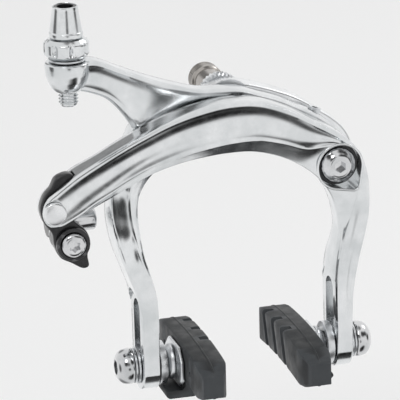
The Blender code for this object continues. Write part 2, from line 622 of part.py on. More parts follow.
def spring_pieces():
    """The wire spring, its post and sleeve on the bracket."""
    place = at_y(SPRING_POST)
    post_front = REAR_ARM_BACK + 0.6 * MM
    turned("spring_post", [
        (0.0, BRACKET_BACK), (SPRING_RIVET_R, BRACKET_BACK), (SPRING_RIVET_R, SPRING_ROOM_BACK - GAP),
        (SPRING_POST_R, SPRING_ROOM_BACK - GAP), (SPRING_POST_R, post_front), (0.0, post_front),
    ], STEEL, place, 24)
    ring("spring_sleeve", SPRING_COIL_R - WIRE_R - GAP, SPRING_POST_R + GAP, post_front + 0.2 * MM,
         SPRING_ROOM_BACK - GAP, BLACK, place, 24)
    front_turn = REAR_ARM_BACK + WIRE_R + 0.5 * MM
    pitch = 2 * WIRE_R + GAP
    start = math.radians(200)
    coil = []
    for k in range(16):
        angle = start + 2 * math.pi * SPRING_TURNS * k / 15
        coil.append(Vector((
            SPRING_POST.x + SPRING_COIL_R * math.cos(angle),
            front_turn + pitch * SPRING_TURNS * k / 15,
            SPRING_POST.z + SPRING_COIL_R * math.sin(angle),
        )))
    rear_eye = REAR_SPRING_EYE
    front_eye = FRONT_SPRING_EYE
    back_turn = coil[-1].y
    left = [
        (rear_eye.x, REAR_ARM_BACK - 2.2 * MM, rear_eye.z),
        (rear_eye.x, front_turn - 1.4 * MM, rear_eye.z),
        (rear_eye.x + 0.5 * MM, front_turn - 0.3 * MM, rear_eye.z + 0.4 * MM),
        (rear_eye.x + 1.6 * MM, front_turn, rear_eye.z + 1.6 * MM),
    ]
    right = [
        (-7.6 * MM, back_turn, -9.2 * MM), (-2.0 * MM, back_turn, -10.3 * MM),
        (6.0 * MM, back_turn, front_eye.z + 1.3 * MM),
        (front_eye.x - 1.6 * MM, back_turn, front_eye.z + 0.2 * MM),
        (front_eye.x - 0.4 * MM, back_turn - 0.4 * MM, front_eye.z),
        (front_eye.x, back_turn - 1.6 * MM, front_eye.z),
        (front_eye.x, FRONT_ARM_BACK - 2.4 * MM, front_eye.z),
    ]
    route = [Vector(p) for p in left] + coil + [Vector(p) for p in right]
    data = bpy.data.curves.new("return_spring", "CURVE")
    data.dimensions = "3D"
    data.bevel_depth = WIRE_R
    data.bevel_resolution = 2
    data.use_fill_caps = True
    spline = data.splines.new("POLY")
    spline.points.add(len(route) - 1)
    for point, place_at in zip(spline.points, route):
        point.co = (*place_at, 1.0)
    spring = bpy.data.objects.new("return_spring", data)
    PARTS.objects.link(spring)
    data.materials.append(SPRING_STEEL)


def adjuster_pieces():
    """The barrel adjuster: a grooved barrel that slides, and the knurled collar that drives it."""
    place = Matrix.Translation((ADJUSTER_X, ADJUSTER_Y, 0.0))
    seat = BOSS_TOP + GAP
    collar_low = seat + 0.6 * MM + GAP
    collar_high = collar_low + COLLAR_HEIGHT
    barrel_low = collar_high + GAP
    socket_floor = BARREL_TOP - 7.0 * MM
    ring("adjuster_seat_washer", BOSS_TOP_R - 0.8 * MM, STEM_R + GAP, seat, seat + 0.6 * MM, BLACK, place)
    collar = turned("adjuster_collar", [
        (STEM_R + GAP, collar_high), (COLLAR_R - 1.0 * MM, collar_high),
        (COLLAR_R, collar_high - 0.8 * MM), (COLLAR_R, collar_low + 1.2 * MM),
        (COLLAR_R - 0.8 * MM, collar_low), (STEM_R + GAP, collar_low),
    ], POLISHED, place, 32)
    for k in range(COLLAR_NOTCHES):
        angle = 2 * math.pi * k / COLLAR_NOTCHES
        offset = Vector((math.cos(angle), math.sin(angle), 0.0)) * (COLLAR_R + 0.7 * MM)
        cut(collar, cylinder(1.1 * MM, collar_low - MM, collar_high + MM, 12),
            place @ Matrix.Translation(offset))
    turned("adjuster_barrel", [
        (HOUSING_R, BARREL_TOP), (BARREL_TOP_R - 0.3 * MM, BARREL_TOP),
        (BARREL_TOP_R, BARREL_TOP - 0.3 * MM), (BARREL_BOTTOM_R, barrel_low + 1.4 * MM),
        (BARREL_BOTTOM_R, barrel_low), (STEM_R, barrel_low), (STEM_R, STEM_BOTTOM + 0.4 * MM),
        (STEM_R - 0.4 * MM, STEM_BOTTOM), (CABLE_BORE_R, STEM_BOTTOM), (CABLE_BORE_R, socket_floor),
        (HOUSING_R, socket_floor),
    ], POLISHED, place, ROUND)


def quick_release_pieces():
    """The quick-release lever, its pin and the cable anchor that it carries."""
    plate_front = QR_SLOT_FRONT + GAP
    outline = points_mm([
        (-53.3, -15.6), (-51.8, -13.0), (-48.8, -11.9), (-46.9, -12.7), (-47.2, -15.0), (-49.3, -18.0),
        (-49.2, -21.6), (-47.2, -25.4), (-44.0, -28.6), (-43.0, -32.0), (-43.9, -35.4), (-43.6, -38.4),
        (-45.4, -39.0), (-48.4, -37.2), (-51.4, -35.4), (-52.9, -32.0), (-53.4, -28.4), (-55.6, -25.0),
        (-56.4, -21.4), (-55.4, -18.0),
    ])
    lever = plate(closed_path(outline, 2), plate_front, plate_front + QR_PLATE, BLACK, "qr_lever")
    anchor = at_y(ANCHOR)
    join(lever, cylinder(ANCHOR_BOSS_R, ANCHOR_BOSS_FRONT, ANCHOR_BOSS_BACK, 28), anchor)
    counterbore = ANCHOR_BOSS_FRONT + 1.2 * MM
    hole_y(lever, ANCHOR, ANCHOR_HEAD_R + GAP, ANCHOR_BOSS_FRONT - MM, counterbore)
    hole_y(lever, ANCHOR, ANCHOR_BOLT_R + GAP, ANCHOR_BOSS_FRONT, 0.0, 24)
    hole_y(lever, QR_PIN, QR_SHANK_R + GAP, plate_front - MM, 0.0, 24)
    pin_head = FRONT_ARM_FRONT + 1.2 * MM
    turned("qr_pin", [
        (0.0, QR_PIN_END), (QR_SHANK_R, QR_PIN_END), (QR_SHANK_R, pin_head), (QR_PIN_R, pin_head),
        (QR_PIN_R, FRONT_ARM_FRONT), (QR_PIN_R - 0.4 * MM, FRONT_ARM_FRONT - 0.4 * MM),
        (0.0, FRONT_ARM_FRONT - 0.4 * MM),
    ], POLISHED, at_y(QR_PIN), 24)
    head_back = counterbore - GAP
    head_front = head_back - 2.2 * MM
    bolt = turned("cable_anchor_bolt", [
        (0.0, ANCHOR_BOSS_BACK), (ANCHOR_BOLT_R, ANCHOR_BOSS_BACK), (ANCHOR_BOLT_R, head_back),
        (ANCHOR_HEAD_R, head_back), (ANCHOR_HEAD_R, head_front + 0.7 * MM),
        (ANCHOR_HEAD_R - 0.7 * MM, head_front), (0.0, head_front),
    ], STEEL, anchor, 24)
    cut(bolt, cylinder(HEX_4_R * 0.85, head_front - MM, head_front + 1.6 * MM, 6), anchor)
    clamp_front = ANCHOR_BOSS_BACK + GAP
    ring("cable_clamp_washer", ANCHOR_BOSS_R - 0.3 * MM, CABLE_BORE_R, clamp_front,
         clamp_front + CLAMP_WASHER, STEEL, anchor)
    nut_y = clamp_front + CLAMP_WASHER + GAP + CLAMP_NUT_R
    nut = add_object("cable_clamp_nut", cylinder(CLAMP_NUT_R, -CLAMP_NUT_LENGTH / 2, CLAMP_NUT_LENGTH / 2, 28),
                     STEEL)
    nut.matrix_world = Matrix.Translation((CLAMP_NUT.x, nut_y, CLAMP_NUT.z)) @ axis_turn((-1.0, 0.0, 0.0))


def pad_pieces(side, word):
    """One pad with its stud, washers and nut. `side` is +1 on the right and -1 on the left."""
    stud_at = Matrix.Translation((0.0, STUD_Y, -REACH)) @ axis_turn((side, 0.0, 0.0))
    shoe_back = PAD_FACE + PAD_THICKNESS
    plate_low = shoe_back + GAP
    plate_high = plate_low + PLATE_THICKNESS
    disc_high = LEG_INNER - GAP
    disc_low = disc_high - INNER_DISC
    cone_high = disc_low - GAP
    cone_low = plate_high + GAP
    outer_low = LEG_OUTER + GAP
    nut_low = outer_low + 2 * OUTER_DISC + 2 * GAP
    nut_high = nut_low + CAP_NUT_HEIGHT
    half = PAD_LENGTH / 2
    low_z = -PAD_HEIGHT / 2
    outline = []
    for direction, edge_z in ((1, -low_z), (-1, low_z)):
        for k in range(13):
            y = direction * half * (2 * k / 12 - 1)
            share = abs(y) / half
            rise = PAD_ARCH * (1 - share * share)
            pinch = 0.0 if share < 0.95 else 1.6 * MM
            outline.append((y, edge_z + rise - direction * pinch))
    shoe_mesh = plate(outline, PAD_FACE, shoe_back, None, "shoe")
    shoe_mesh.transform(Matrix.Rotation(math.radians(-90 * side), 4, "Z"))
    shoe = add_object(word + "_brake_shoe", shoe_mesh, RUBBER)
    shoe.location = (0.0, STUD_Y, -REACH)
    edges = shoe.modifiers.new("edges", "BEVEL")
    edges.width = 0.9 * MM
    edges.segments = 2
    edges.limit_method = "ANGLE"
    edges.angle_limit = math.radians(50)
    for k in range(3):
        groove = bmesh.new()
        bmesh.ops.create_cube(groove, size=1.0)
        bmesh.ops.scale(groove, vec=(2 * PAD_GROOVE_DEPTH, PAD_GROOVE, 3 * PAD_HEIGHT), verts=groove.verts)
        turn = Matrix.Rotation(math.radians(-22), 4, "X")
        y = STUD_Y + half * (-0.22 + 0.36 * k)
        cut(shoe, mesh_from(groove, "groove"), Matrix.Translation((side * PAD_FACE, y, -REACH)) @ turn)
    fin_low = -PAD_FIN_DROP
    fin_top = -INNER_DISC_R - GAP
    fin_end = disc_low + 1.2 * MM
    fin = plate([
        (PAD_FACE + 4.4 * MM, low_z + 2 * MM), (PAD_FACE + 4.4 * MM, fin_low + MM),
        (PAD_FACE + 5.6 * MM, fin_low), (fin_end - 0.9 * MM, fin_low), (fin_end, fin_low + 0.9 * MM),
        (fin_end - 0.7 * MM, fin_top), (shoe_back + 0.2 * MM, fin_top), (shoe_back - 0.5 * MM, fin_top + MM),
        (shoe_back - 0.5 * MM, low_z + 2 * MM),
    ], -PLATE_LENGTH / 2 + 2 * MM, PLATE_LENGTH / 2 - 3 * MM, None, "fin")
    fin_shift = Matrix.Translation((0.0, STUD_Y - 0.5 * MM, -REACH))
    join(shoe, fin, fin_shift @ (Matrix.Diagonal((side, 1.0, 1.0, 1.0))))
    backing = bmesh.new()
    bmesh.ops.create_cube(backing, size=1.0)
    bmesh.ops.scale(backing, vec=(PLATE_THICKNESS, PLATE_LENGTH, PLATE_HEIGHT), verts=backing.verts)
    metal = add_object(word + "_backing_plate", mesh_from(backing, "plate"), STEEL)
    metal.location = (side * (plate_low + plate_high) / 2, STUD_Y, -REACH)
    corners = metal.modifiers.new("corners", "BEVEL")
    corners.width = 0.5 * MM
    corners.segments = 1
    stud_end = nut_high - 2.0 * MM
    turned(word + "_pad_stud", [
        (0.0, stud_end), (STUD_R - 0.4 * MM, stud_end), (STUD_R, stud_end - 0.4 * MM),
        (STUD_R, plate_high + GAP), (0.0, plate_high + GAP),
    ], STEEL, stud_at, 24)
    bore = STUD_R + GAP
    turned(word + "_convex_washer", [
        (bore, cone_high), (3.6 * MM, cone_high), (INNER_CONE_R, cone_low + 0.7 * MM),
        (INNER_CONE_R, cone_low), (bore, cone_low),
    ], STEEL, stud_at)
    turned(word + "_concave_washer", [
        (bore, disc_high), (INNER_DISC_R - 0.2 * MM, disc_high), (INNER_DISC_R, disc_high - 0.2 * MM),
        (INNER_DISC_R, disc_low + 0.3 * MM), (INNER_DISC_R - 0.3 * MM, disc_low),
        (4.4 * MM, disc_low), (bore, disc_low + 0.6 * MM),
    ], STEEL, stud_at)
    ring(word + "_outer_washer", OUTER_DISC_R, bore, outer_low, outer_low + OUTER_DISC, STEEL, stud_at)
    second = outer_low + OUTER_DISC + GAP
    ring(word + "_nut_washer", OUTER_DISC_R - 0.2 * MM, bore, second, second + OUTER_DISC, STEEL, stud_at)
    nut = turned(word + "_cap_nut", [
        (0.0, nut_high), (2.6 * MM, nut_high), (3.8 * MM, nut_high - 0.6 * MM),
        (4.7 * MM, nut_high - 1.7 * MM), (CAP_NUT_R, nut_high - 2.9 * MM), (CAP_NUT_R, nut_low + 0.2 * MM),
        (CAP_NUT_R - 0.2 * MM, nut_low), (bore, nut_low), (bore, stud_end + GAP), (0.0, stud_end + GAP),
    ], STEEL, stud_at)
    cut(nut, cylinder(HEX_4_R, nut_high - 1.2 * MM, nut_high + MM, 6), stud_at)


front_arm()
rear_arm()
pivot_bracket()
centring_screw()
mounting_pieces()
side_pivot_pieces()
spring_pieces()
adjuster_pieces()
quick_release_pieces()
pad_pieces(-1, "left")
pad_pieces(1, "right")
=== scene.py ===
"""Looks of a long-reach dual-pivot rim brake caliper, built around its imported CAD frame.

+X is right as seen from in front of the bicycle, +Y is rearward, +Z is up. Lists of points are in
millimetres and everything else is in metres.
"""
import json
import math

import bmesh
import bpy
from mathutils import Matrix, Quaternion, Vector


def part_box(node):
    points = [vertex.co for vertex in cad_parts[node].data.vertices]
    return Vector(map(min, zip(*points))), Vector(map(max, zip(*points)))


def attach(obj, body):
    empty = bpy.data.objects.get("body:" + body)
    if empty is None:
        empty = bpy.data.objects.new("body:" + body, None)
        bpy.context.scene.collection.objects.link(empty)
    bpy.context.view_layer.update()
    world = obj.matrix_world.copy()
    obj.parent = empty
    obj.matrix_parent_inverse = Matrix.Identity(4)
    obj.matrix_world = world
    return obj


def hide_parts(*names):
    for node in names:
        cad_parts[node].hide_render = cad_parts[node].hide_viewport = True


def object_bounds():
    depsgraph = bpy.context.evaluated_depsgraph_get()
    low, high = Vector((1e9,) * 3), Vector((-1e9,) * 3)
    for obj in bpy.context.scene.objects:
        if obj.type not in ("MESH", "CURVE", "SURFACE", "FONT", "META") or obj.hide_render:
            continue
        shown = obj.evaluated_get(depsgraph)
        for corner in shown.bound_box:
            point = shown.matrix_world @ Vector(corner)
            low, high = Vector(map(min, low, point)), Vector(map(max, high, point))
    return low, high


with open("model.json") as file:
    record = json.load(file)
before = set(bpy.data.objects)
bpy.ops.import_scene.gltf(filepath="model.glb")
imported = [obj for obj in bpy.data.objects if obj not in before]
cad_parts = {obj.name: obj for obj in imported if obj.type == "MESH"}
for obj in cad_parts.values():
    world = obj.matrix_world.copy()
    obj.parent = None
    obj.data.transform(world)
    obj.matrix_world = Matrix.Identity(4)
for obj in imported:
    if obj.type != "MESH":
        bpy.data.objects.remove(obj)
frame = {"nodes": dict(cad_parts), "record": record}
CAD_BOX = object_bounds()
NODES = frame["nodes"]

MM = 0.001
GAP = 0.3
CRISP = math.radians(32)    # edges sharper than this are shaded hard

# ---- places that the frame gives ----


def middle(node):
    """The middle of a CAD node's box, in millimetres."""
    low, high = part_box(node)
    return (low + high) / 2 / MM


def low_of(node):
    """The lowest corner of a CAD node's box, in millimetres."""
    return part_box(node)[0] / MM


def high_of(node):
    """The highest corner of a CAD node's box, in millimetres."""
    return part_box(node)[1] / MM


SIDE_PIVOT = middle("side_pivot_bolt")
QR_PIN = middle("qr_pin")
ANCHOR = middle("cable_anchor_bolt")
ADJUSTER = middle("adjuster_barrel")
SPRING_POST = middle("spring_post")
STUD = middle("right_pad_stud")
FRONT = low_of("side_pivot_bolt").y + 0.5      # front plane of the front arm
FRONT_ARM_BACK = high_of("front_arm_bush").y + 0.1
REAR_FRONT = FRONT_ARM_BACK + GAP
REAR_BACK = high_of("rear_arm_bush").y + 0.1
LEG_HALF = 6.5                 # half of a leg's depth at the pad
LEG_FRONT = STUD.y - LEG_HALF
LEG_BACK = STUD.y + LEG_HALF
LEG_INNER = high_of("right_concave_washer").x + GAP
LEG_OUTER = low_of("right_outer_washer").x - GAP
SLOT_TRAVEL = 16.0
STUD_HOLE_R = 3.3
WASHER_FACE_R = 6.4
FORK_SLOT = (-23.4, -19.4)     # the front arm's slot for the quick-release lever, front and back

# ---- mesh helpers ----


def mesh_of(bm, name):
    """A mesh with its faces pointing out, smooth-shaded up to a crisp angle."""
    bmesh.ops.recalc_face_normals(bm, faces=bm.faces)
    mesh = bpy.data.meshes.new(name)
    bm.to_mesh(mesh)
    bm.free()
    mesh.shade_smooth()
    mesh.set_sharp_from_angle(angle=CRISP)
    return mesh


def add_object(name, data):
    """Puts a mesh, curve, light or camera in the scene."""
    made = bpy.data.objects.new(name, data)
    bpy.context.scene.collection.objects.link(made)
    return made


def along(axis):
    """The rotation that takes +Z to `axis`."""
    return Vector((0.0, 0.0, 1.0)).rotation_difference(Vector(axis)).to_matrix().to_4x4()


def at_y(place):
    """A placement whose local Z runs rearward through `place`, given in millimetres."""
    return Matrix.Translation(Vector((place.x, 0.0, place.z)) * MM) @ along((0.0, 1.0, 0.0))


def skin(rows, closed_ends=True):
    """A bmesh skinned over rows of points, each row a closed ring."""
    bm = bmesh.new()
    made = [[bm.verts.new(point) for point in row] for row in rows]
    count = len(rows[0])
    for a, b in zip(made, made[1:]):
        for i in range(count):
            j = (i + 1) % count
            bm.faces.new((a[i], a[j], b[j], b[i]))
    if closed_ends:
        bm.faces.new(made[0])
        bm.faces.new(made[-1])
    return bm


def turned_mesh(profile, sides=72, shape=None):
    """A turned solid from (radius, height) points in millimetres, down the outside and up the bore.

    `shape` changes the radius: it takes (radius, height, angle) and gives the new radius.
    """
    bored = profile[0][0] > 0.0
    rings = profile + [profile[0]] if bored else profile
    bm = bmesh.new()
    made = []
    for radius, height in rings[:-1] if bored else rings:
        if radius <= 0.0:
            made.append([bm.verts.new((0.0, 0.0, height * MM))])
            continue
        row = []
        for k in range(sides):
            angle = 2 * math.pi * k / sides
            r = (shape(radius, height, angle) if shape else radius) * MM
            row.append(bm.verts.new((r * math.cos(angle), r * math.sin(angle), height * MM)))
        made.append(row)
    if bored:
        made.append(made[0])
    for a, b in zip(made, made[1:]):
        for k in range(sides):
            j = (k + 1) % sides
            corners = [a[k % len(a)], a[j % len(a)], b[j % len(b)], b[k % len(b)]]
            unique = list(dict.fromkeys(corners))
            if len(unique) > 2:
                bm.faces.new(unique)
    return mesh_of(bm, "turned")


def turned(name, profile, place, sides=72, shape=None):
    """An object turned about local Z and put at `place`."""
    made = add_object(name, turned_mesh(profile, sides, shape))
    made.data.transform(place)
    return made


def rounded(profile, radius, steps=3):
    """The same profile with each corner between two straight runs rounded by `radius`."""
    out = []
    last = len(profile) - 1
    for i, point in enumerate(profile):
        p = Vector(point)
        before = Vector(profile[i - 1]) if i else None
        after = Vector(profile[i + 1]) if i < last else None
        if before is None or after is None or p.x <= 0.0:
            out.append(point)
            continue
        reach = min(radius, (before - p).length * 0.45, (after - p).length * 0.45)
        start = p + (before - p).normalized() * reach
        end = p + (after - p).normalized() * reach
        for k in range(steps + 1):
            t = k / steps
            q = start * (1 - t) ** 2 + p * 2 * t * (1 - t) + end * t ** 2
            out.append((q.x, q.y))
    return out


def cylinder_mesh(radius, low, high, sides=48):
    """A plain cylinder about local Z, used as a cutter. Millimetres."""
    bm = bmesh.new()
    bmesh.ops.create_cone(bm, cap_ends=True, segments=sides, radius1=radius * MM,
                          radius2=radius * MM, depth=(high - low) * MM)
    bmesh.ops.translate(bm, vec=(0.0, 0.0, (low + high) / 2 * MM), verts=bm.verts)
    return mesh_of(bm, "cylinder")


def smooth_path(points, steps):
    """Points on a Catmull-Rom curve through `points`, which are tuples of any length."""
    out = []
    for i in range(len(points) - 1):
        p0 = points[max(i - 1, 0)]
        p1 = points[i]
        p2 = points[i + 1]
        p3 = points[min(i + 2, len(points) - 1)]
        for k in range(steps):
            t = k / steps
            out.append(tuple(
                0.5 * (2 * b + (c - a) * t + (2 * a - 5 * b + 4 * c - d) * t * t
                       + (3 * b - a - 3 * c + d) * t * t * t)
                for a, b, c, d in zip(p0, p1, p2, p3)
            ))
    out.append(tuple(points[-1]))
    return out


def closed_path(points, steps):
    """A closed smooth outline through `points`."""
    wrapped = [points[-1]] + points + points[:2]
    return smooth_path(wrapped, steps)[steps:steps + steps * len(points)]


def plate_mesh(outline, low, high):
    """A flat solid with an (x, z) outline between two y values, in millimetres."""
    rows = []
    for y in (low, high):
        rows.append([Vector((x, y, z)) * MM for x, z in outline])
    return mesh_of(skin(rows), "plate")


def soften(target, width, segments=3, angle=40):
    """Rounds an object's edges by `width` millimetres, in its mesh."""
    bevel = target.modifiers.new("edges", "BEVEL")
    bevel.width = width * MM
    bevel.segments = segments
    bevel.limit_method = "ANGLE"
    bevel.angle_limit = math.radians(angle)
    bevel.harden_normals = False
    bake(target)


def bake(target):
    """Applies an object's modifiers to its mesh."""
    bpy.context.view_layer.update()
    graph = bpy.context.evaluated_depsgraph_get()
    mesh = bpy.data.meshes.new_from_object(target.evaluated_get(graph))
    target.modifiers.clear()
    target.data = mesh
    mesh.shade_smooth()
    mesh.set_sharp_from_angle(angle=CRISP)


def carve(target, tools):
    """Cuts or joins tool meshes, given as (operation, mesh, placement), in one go."""
    helpers = []
    for operation, mesh, place in tools:
        tool = add_object("tool", mesh)
        tool.matrix_world = place
        boolean = target.modifiers.new("boolean", "BOOLEAN")
        boolean.operation = operation
        boolean.object = tool
        helpers.append(tool)
    bake(target)
    for tool in helpers:
        bpy.data.objects.remove(tool)


STILL = Matrix.Identity(4)
CUT = "DIFFERENCE"
JOIN = "UNION"


def slot_outline(a, b, radius, sides=20):
    """The outline of a slot with round ends centred on the points `a` and `b`."""
    turn = math.atan2(b[1] - a[1], b[0] - a[0])
    outline = []
    for (x, z), start in ((b, turn - math.pi / 2), (a, turn + math.pi / 2)):
        for k in range(sides + 1):
            angle = start + math.pi * k / sides
            outline.append((x + radius * math.cos(angle), z + radius * math.sin(angle)))
    return outline


# ---- materials ----


class Shader:
    """A node material built step by step on a Principled shader."""

    def __init__(self, name, roughness, metallic):
        self.material = bpy.data.materials.new(name)
        self.material.use_nodes = True
        self.tree = self.material.node_tree
        self.main = self.tree.nodes["Principled BSDF"]
        self.main.inputs["Roughness"].default_value = roughness
        self.main.inputs["Metallic"].default_value = metallic
        self.coordinate = self.add("ShaderNodeTexCoord").outputs["Object"]

    def add(self, kind, **settings):
        """A node with its settings."""
        node = self.tree.nodes.new(kind)
        for key, value in settings.items():
            setattr(node, key, value)
        return node

    def link(self, source, target):
        """Joins two sockets."""
        self.tree.links.new(source, target)

    def noise(self, scale, detail=3.0, stretch=None):
        """A noise value over the piece; scale is in features a metre."""
        node = self.add("ShaderNodeTexNoise")
        node.inputs["Scale"].default_value = scale
        node.inputs["Detail"].default_value = detail
        source = self.coordinate
        if stretch:
            mapping = self.add("ShaderNodeMapping")
            mapping.inputs["Scale"].default_value = stretch
            self.link(source, mapping.inputs["Vector"])
            source = mapping.outputs["Vector"]
        self.link(source, node.inputs["Vector"])
        return node.outputs["Fac"]

    def spread(self, value, low, high, start=0.3, end=0.7):
        """A value between `low` and `high` as `value` goes from `start` to `end`."""
        node = self.add("ShaderNodeMapRange")
        node.inputs["From Min"].default_value = start
        node.inputs["From Max"].default_value = end
        node.inputs["To Min"].default_value = low
        node.inputs["To Max"].default_value = high
        self.link(value, node.inputs["Value"])
        return node.outputs["Result"]

    def colours(self, value, stops):
        """A colour ramp of (position, colour) stops."""
        node = self.add("ShaderNodeValToRGB")
        ramp = node.color_ramp
        while len(ramp.elements) < len(stops):
            ramp.elements.new(0.5)
        for element, (position, colour) in zip(ramp.elements, stops):
            element.position = position
            element.color = (*colour, 1.0)
        self.link(value, node.inputs["Fac"])
        return node.outputs["Color"]

    def mixed(self, factor, a, b):
        """Colour `a` turning into colour `b` as `factor` rises."""
        node = self.add("ShaderNodeMix", data_type="RGBA")
        self.link(factor, node.inputs[0])
        for socket, colour in ((node.inputs[6], a), (node.inputs[7], b)):
            if isinstance(colour, tuple):
                socket.default_value = (*colour, 1.0)
            else:
                self.link(colour, socket)
        return node.outputs[2]

    def bump(self, height, strength, distance, below=None):
        """Bump from a height, over an earlier bump if one is given. Returns the normal."""
        node = self.add("ShaderNodeBump")
        node.inputs["Strength"].default_value = strength
        node.inputs["Distance"].default_value = distance * MM
        self.link(height, node.inputs["Height"])
        if below:
            self.link(below, node.inputs["Normal"])
        return node.outputs["Normal"]

    def edges(self, low, high):
        """A value that is 1 on convex edges and 0 on flat ground."""
        pointiness = self.add("ShaderNodeNewGeometry").outputs["Pointiness"]
        return self.spread(pointiness, 0.0, 1.0, low, high)


def metal(name, dark, light, roughness, grain, scratches=None, grain_scale=3800.0):
    """A worn metal: cloudy tone, fine grain, patches of roughness and faint scratches."""
    shader = Shader(name, roughness[0], 1.0)
    main = shader.main.inputs
    cloud = shader.noise(140.0, 5.0)
    speck = shader.noise(grain_scale, 2.0)
    tone = shader.colours(cloud, [(0.3, dark), (0.7, light)])
    shader.link(shader.mixed(shader.spread(speck, 0.0, 0.35), tone, dark), main["Base Color"])
    patch = shader.spread(shader.noise(420.0, 4.0), roughness[0], roughness[1])
    shader.link(patch, main["Roughness"])
    normal = shader.bump(speck, grain, 0.02)
    if scratches:
        lines = shader.noise(600.0, 2.0, scratches)
        normal = shader.bump(lines, grain * 1.6, 0.02, normal)
    shader.link(normal, main["Normal"])
    return shader.material


def black_anodised():
    """Black anodised aluminium: satin, with grain and edges rubbed lighter."""
    shader = Shader("black_satin", 0.34, 0.35)
    main = shader.main.inputs
    speck = shader.noise(3000.0, 3.0)
    tone = shader.colours(speck, [(0.35, (0.006, 0.006, 0.007)), (0.7, (0.016, 0.016, 0.018))])
    rubbed = shader.mixed(shader.edges(0.53, 0.60), tone, (0.09, 0.09, 0.095))
    shader.link(rubbed, main["Base Color"])
    shader.link(shader.spread(shader.noise(500.0), 0.24, 0.42), main["Roughness"])
    shader.link(shader.bump(speck, 0.12, 0.03), main["Normal"])
    main["Coat Weight"].default_value = 0.25
    main["Coat Roughness"].default_value = 0.2
    return shader.material


def pad_rubber():
    """Moulded brake rubber: charcoal, powdery, paler where edges are rubbed."""
    shader = Shader("charcoal_rubber", 0.62, 0.0)
    main = shader.main.inputs
    dust = shader.noise(260.0, 6.0)
    speck = shader.noise(2600.0, 3.0)
    tone = shader.colours(dust, [(0.3, (0.014, 0.016, 0.018)), (0.75, (0.026, 0.029, 0.032))])
    specked = shader.mixed(shader.spread(speck, 0.0, 0.5), tone, (0.010, 0.011, 0.012))
    rubbed = shader.mixed(shader.edges(0.52, 0.62), specked, (0.045, 0.05, 0.055))
    shader.link(rubbed, main["Base Color"])
    shader.link(shader.spread(dust, 0.42, 0.68), main["Roughness"])
    normal = shader.bump(shader.noise(900.0, 4.0), 0.25, 0.06)
    shader.link(shader.bump(speck, 0.3, 0.04, normal), main["Normal"])
    main["Specular IOR Level"].default_value = 0.45
    return shader.material


ALLOY = metal("bright_alloy", (0.60, 0.62, 0.63), (0.78, 0.79, 0.80), (0.12, 0.20), 0.24)
CAST = metal("satin_alloy", (0.70, 0.71, 0.72), (0.86, 0.87, 0.88), (0.24, 0.36), 0.16)
STEEL = metal("bright_steel", (0.50, 0.51, 0.52), (0.72, 0.72, 0.73), (0.09, 0.18), 0.06,
              (1.0, 9.0, 9.0))
ZINC = metal("zinc_steel", (0.58, 0.60, 0.62), (0.78, 0.79, 0.80), (0.24, 0.40), 0.14,
             (9.0, 1.0, 9.0))
BRONZE = metal("bronze", (0.38, 0.25, 0.13), (0.60, 0.44, 0.26), (0.28, 0.45), 0.15)
WIRE = metal("spring_wire", (0.20, 0.20, 0.21), (0.40, 0.40, 0.41), (0.22, 0.38), 0.12)
BURNISHED = metal("burnished_steel", (0.26, 0.24, 0.22), (0.44, 0.42, 0.40), (0.14, 0.26), 0.10)
BLACK = black_anodised()
RUBBER = pad_rubber()


def finish_piece(piece, finish, body, *replaced):
    """Gives a new piece its material, its body and the CAD nodes that it stands for."""
    piece.data.materials.clear()
    piece.data.materials.append(finish)
    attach(piece, body)
    if replaced:
        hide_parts(*replaced)
    return piece


# ---- the arms ----


def arm_section(width, depth, dish, low, slope, edge):
    """Points of an arm's section as (across, back): across runs from the outer edge inwards.

    The front has a crisp outer ridge, a dished panel, a lower ridge at the share `low` of the
    width, and a face that slopes back by `slope` to the inner edge. Millimetres.
    """
    edge = min(edge, width * 0.22, depth * 0.22)
    lower = width * low
    slope = min(slope, depth * 0.45)
    points = [(edge * 0.30, 0.16 * edge), (edge * 0.75, 0.0), (edge * 1.15, 0.04 * edge)]
    start, end = edge * 1.5, max(lower - edge * 0.55, edge * 2.2)
    for k in range(13):
        t = k / 12
        sink = 0.85 * dish * (1 - abs(2 * t - 1) ** 2.2)
        points.append((start + (end - start) * t, sink + 0.02))
    lower = max(lower, end + 0.35 * edge)
    points += [(lower - 0.1 * edge, 0.0), (lower + 0.15 * edge, 0.03)]
    inner = max(width - edge * 0.9, lower + 0.3 * edge)
    for t in (0.15, 0.4, 0.7, 1.0):
        points.append((lower + (inner - lower) * t, 0.05 + (slope - 0.05) * t))
    points += [(width - 0.3 * edge, slope + 0.35 * edge), (width, slope + edge)]
    for t in (0.25, 0.5, 0.75):
        points.append((width + 0.0, slope + edge + (depth - slope - 2 * edge) * t))
    points += [(width, depth - edge), (width - 0.3 * edge, depth - 0.3 * edge), (width - edge, depth)]
    for t in (0.25, 0.5, 0.75):
        points.append((width - edge - (width - 2 * edge) * t, depth))
    points += [(edge, depth), (0.3 * edge, depth - 0.3 * edge), (0.0, depth - edge)]
    for t in (0.25, 0.5, 0.75):
        points.append((0.0, depth - edge - (depth - 1.9 * edge) * t))
    points.append((0.0, 0.75 * edge))
    return points


def arm_mesh(stations, steps, edge):
    """A forged arm lofted along stations of (outer x, z, inner x, z, front y, back y, dish, low, slope)."""
    rows = []
    for ox, oz, ix, iz, front, back, dish, low, slope in smooth_path(stations, steps):
        outer = Vector((ox, front, oz))
        across = Vector((ix - ox, 0.0, iz - oz))
        width = across.length
        side = across.normalized()
        row = []
        for s, y in arm_section(width, back - front, dish, min(low, 0.97), slope, edge):
            row.append((outer + side * s + Vector((0.0, y, 0.0))) * MM)
        rows.append(row)
    return mesh_of(skin(rows), "arm")


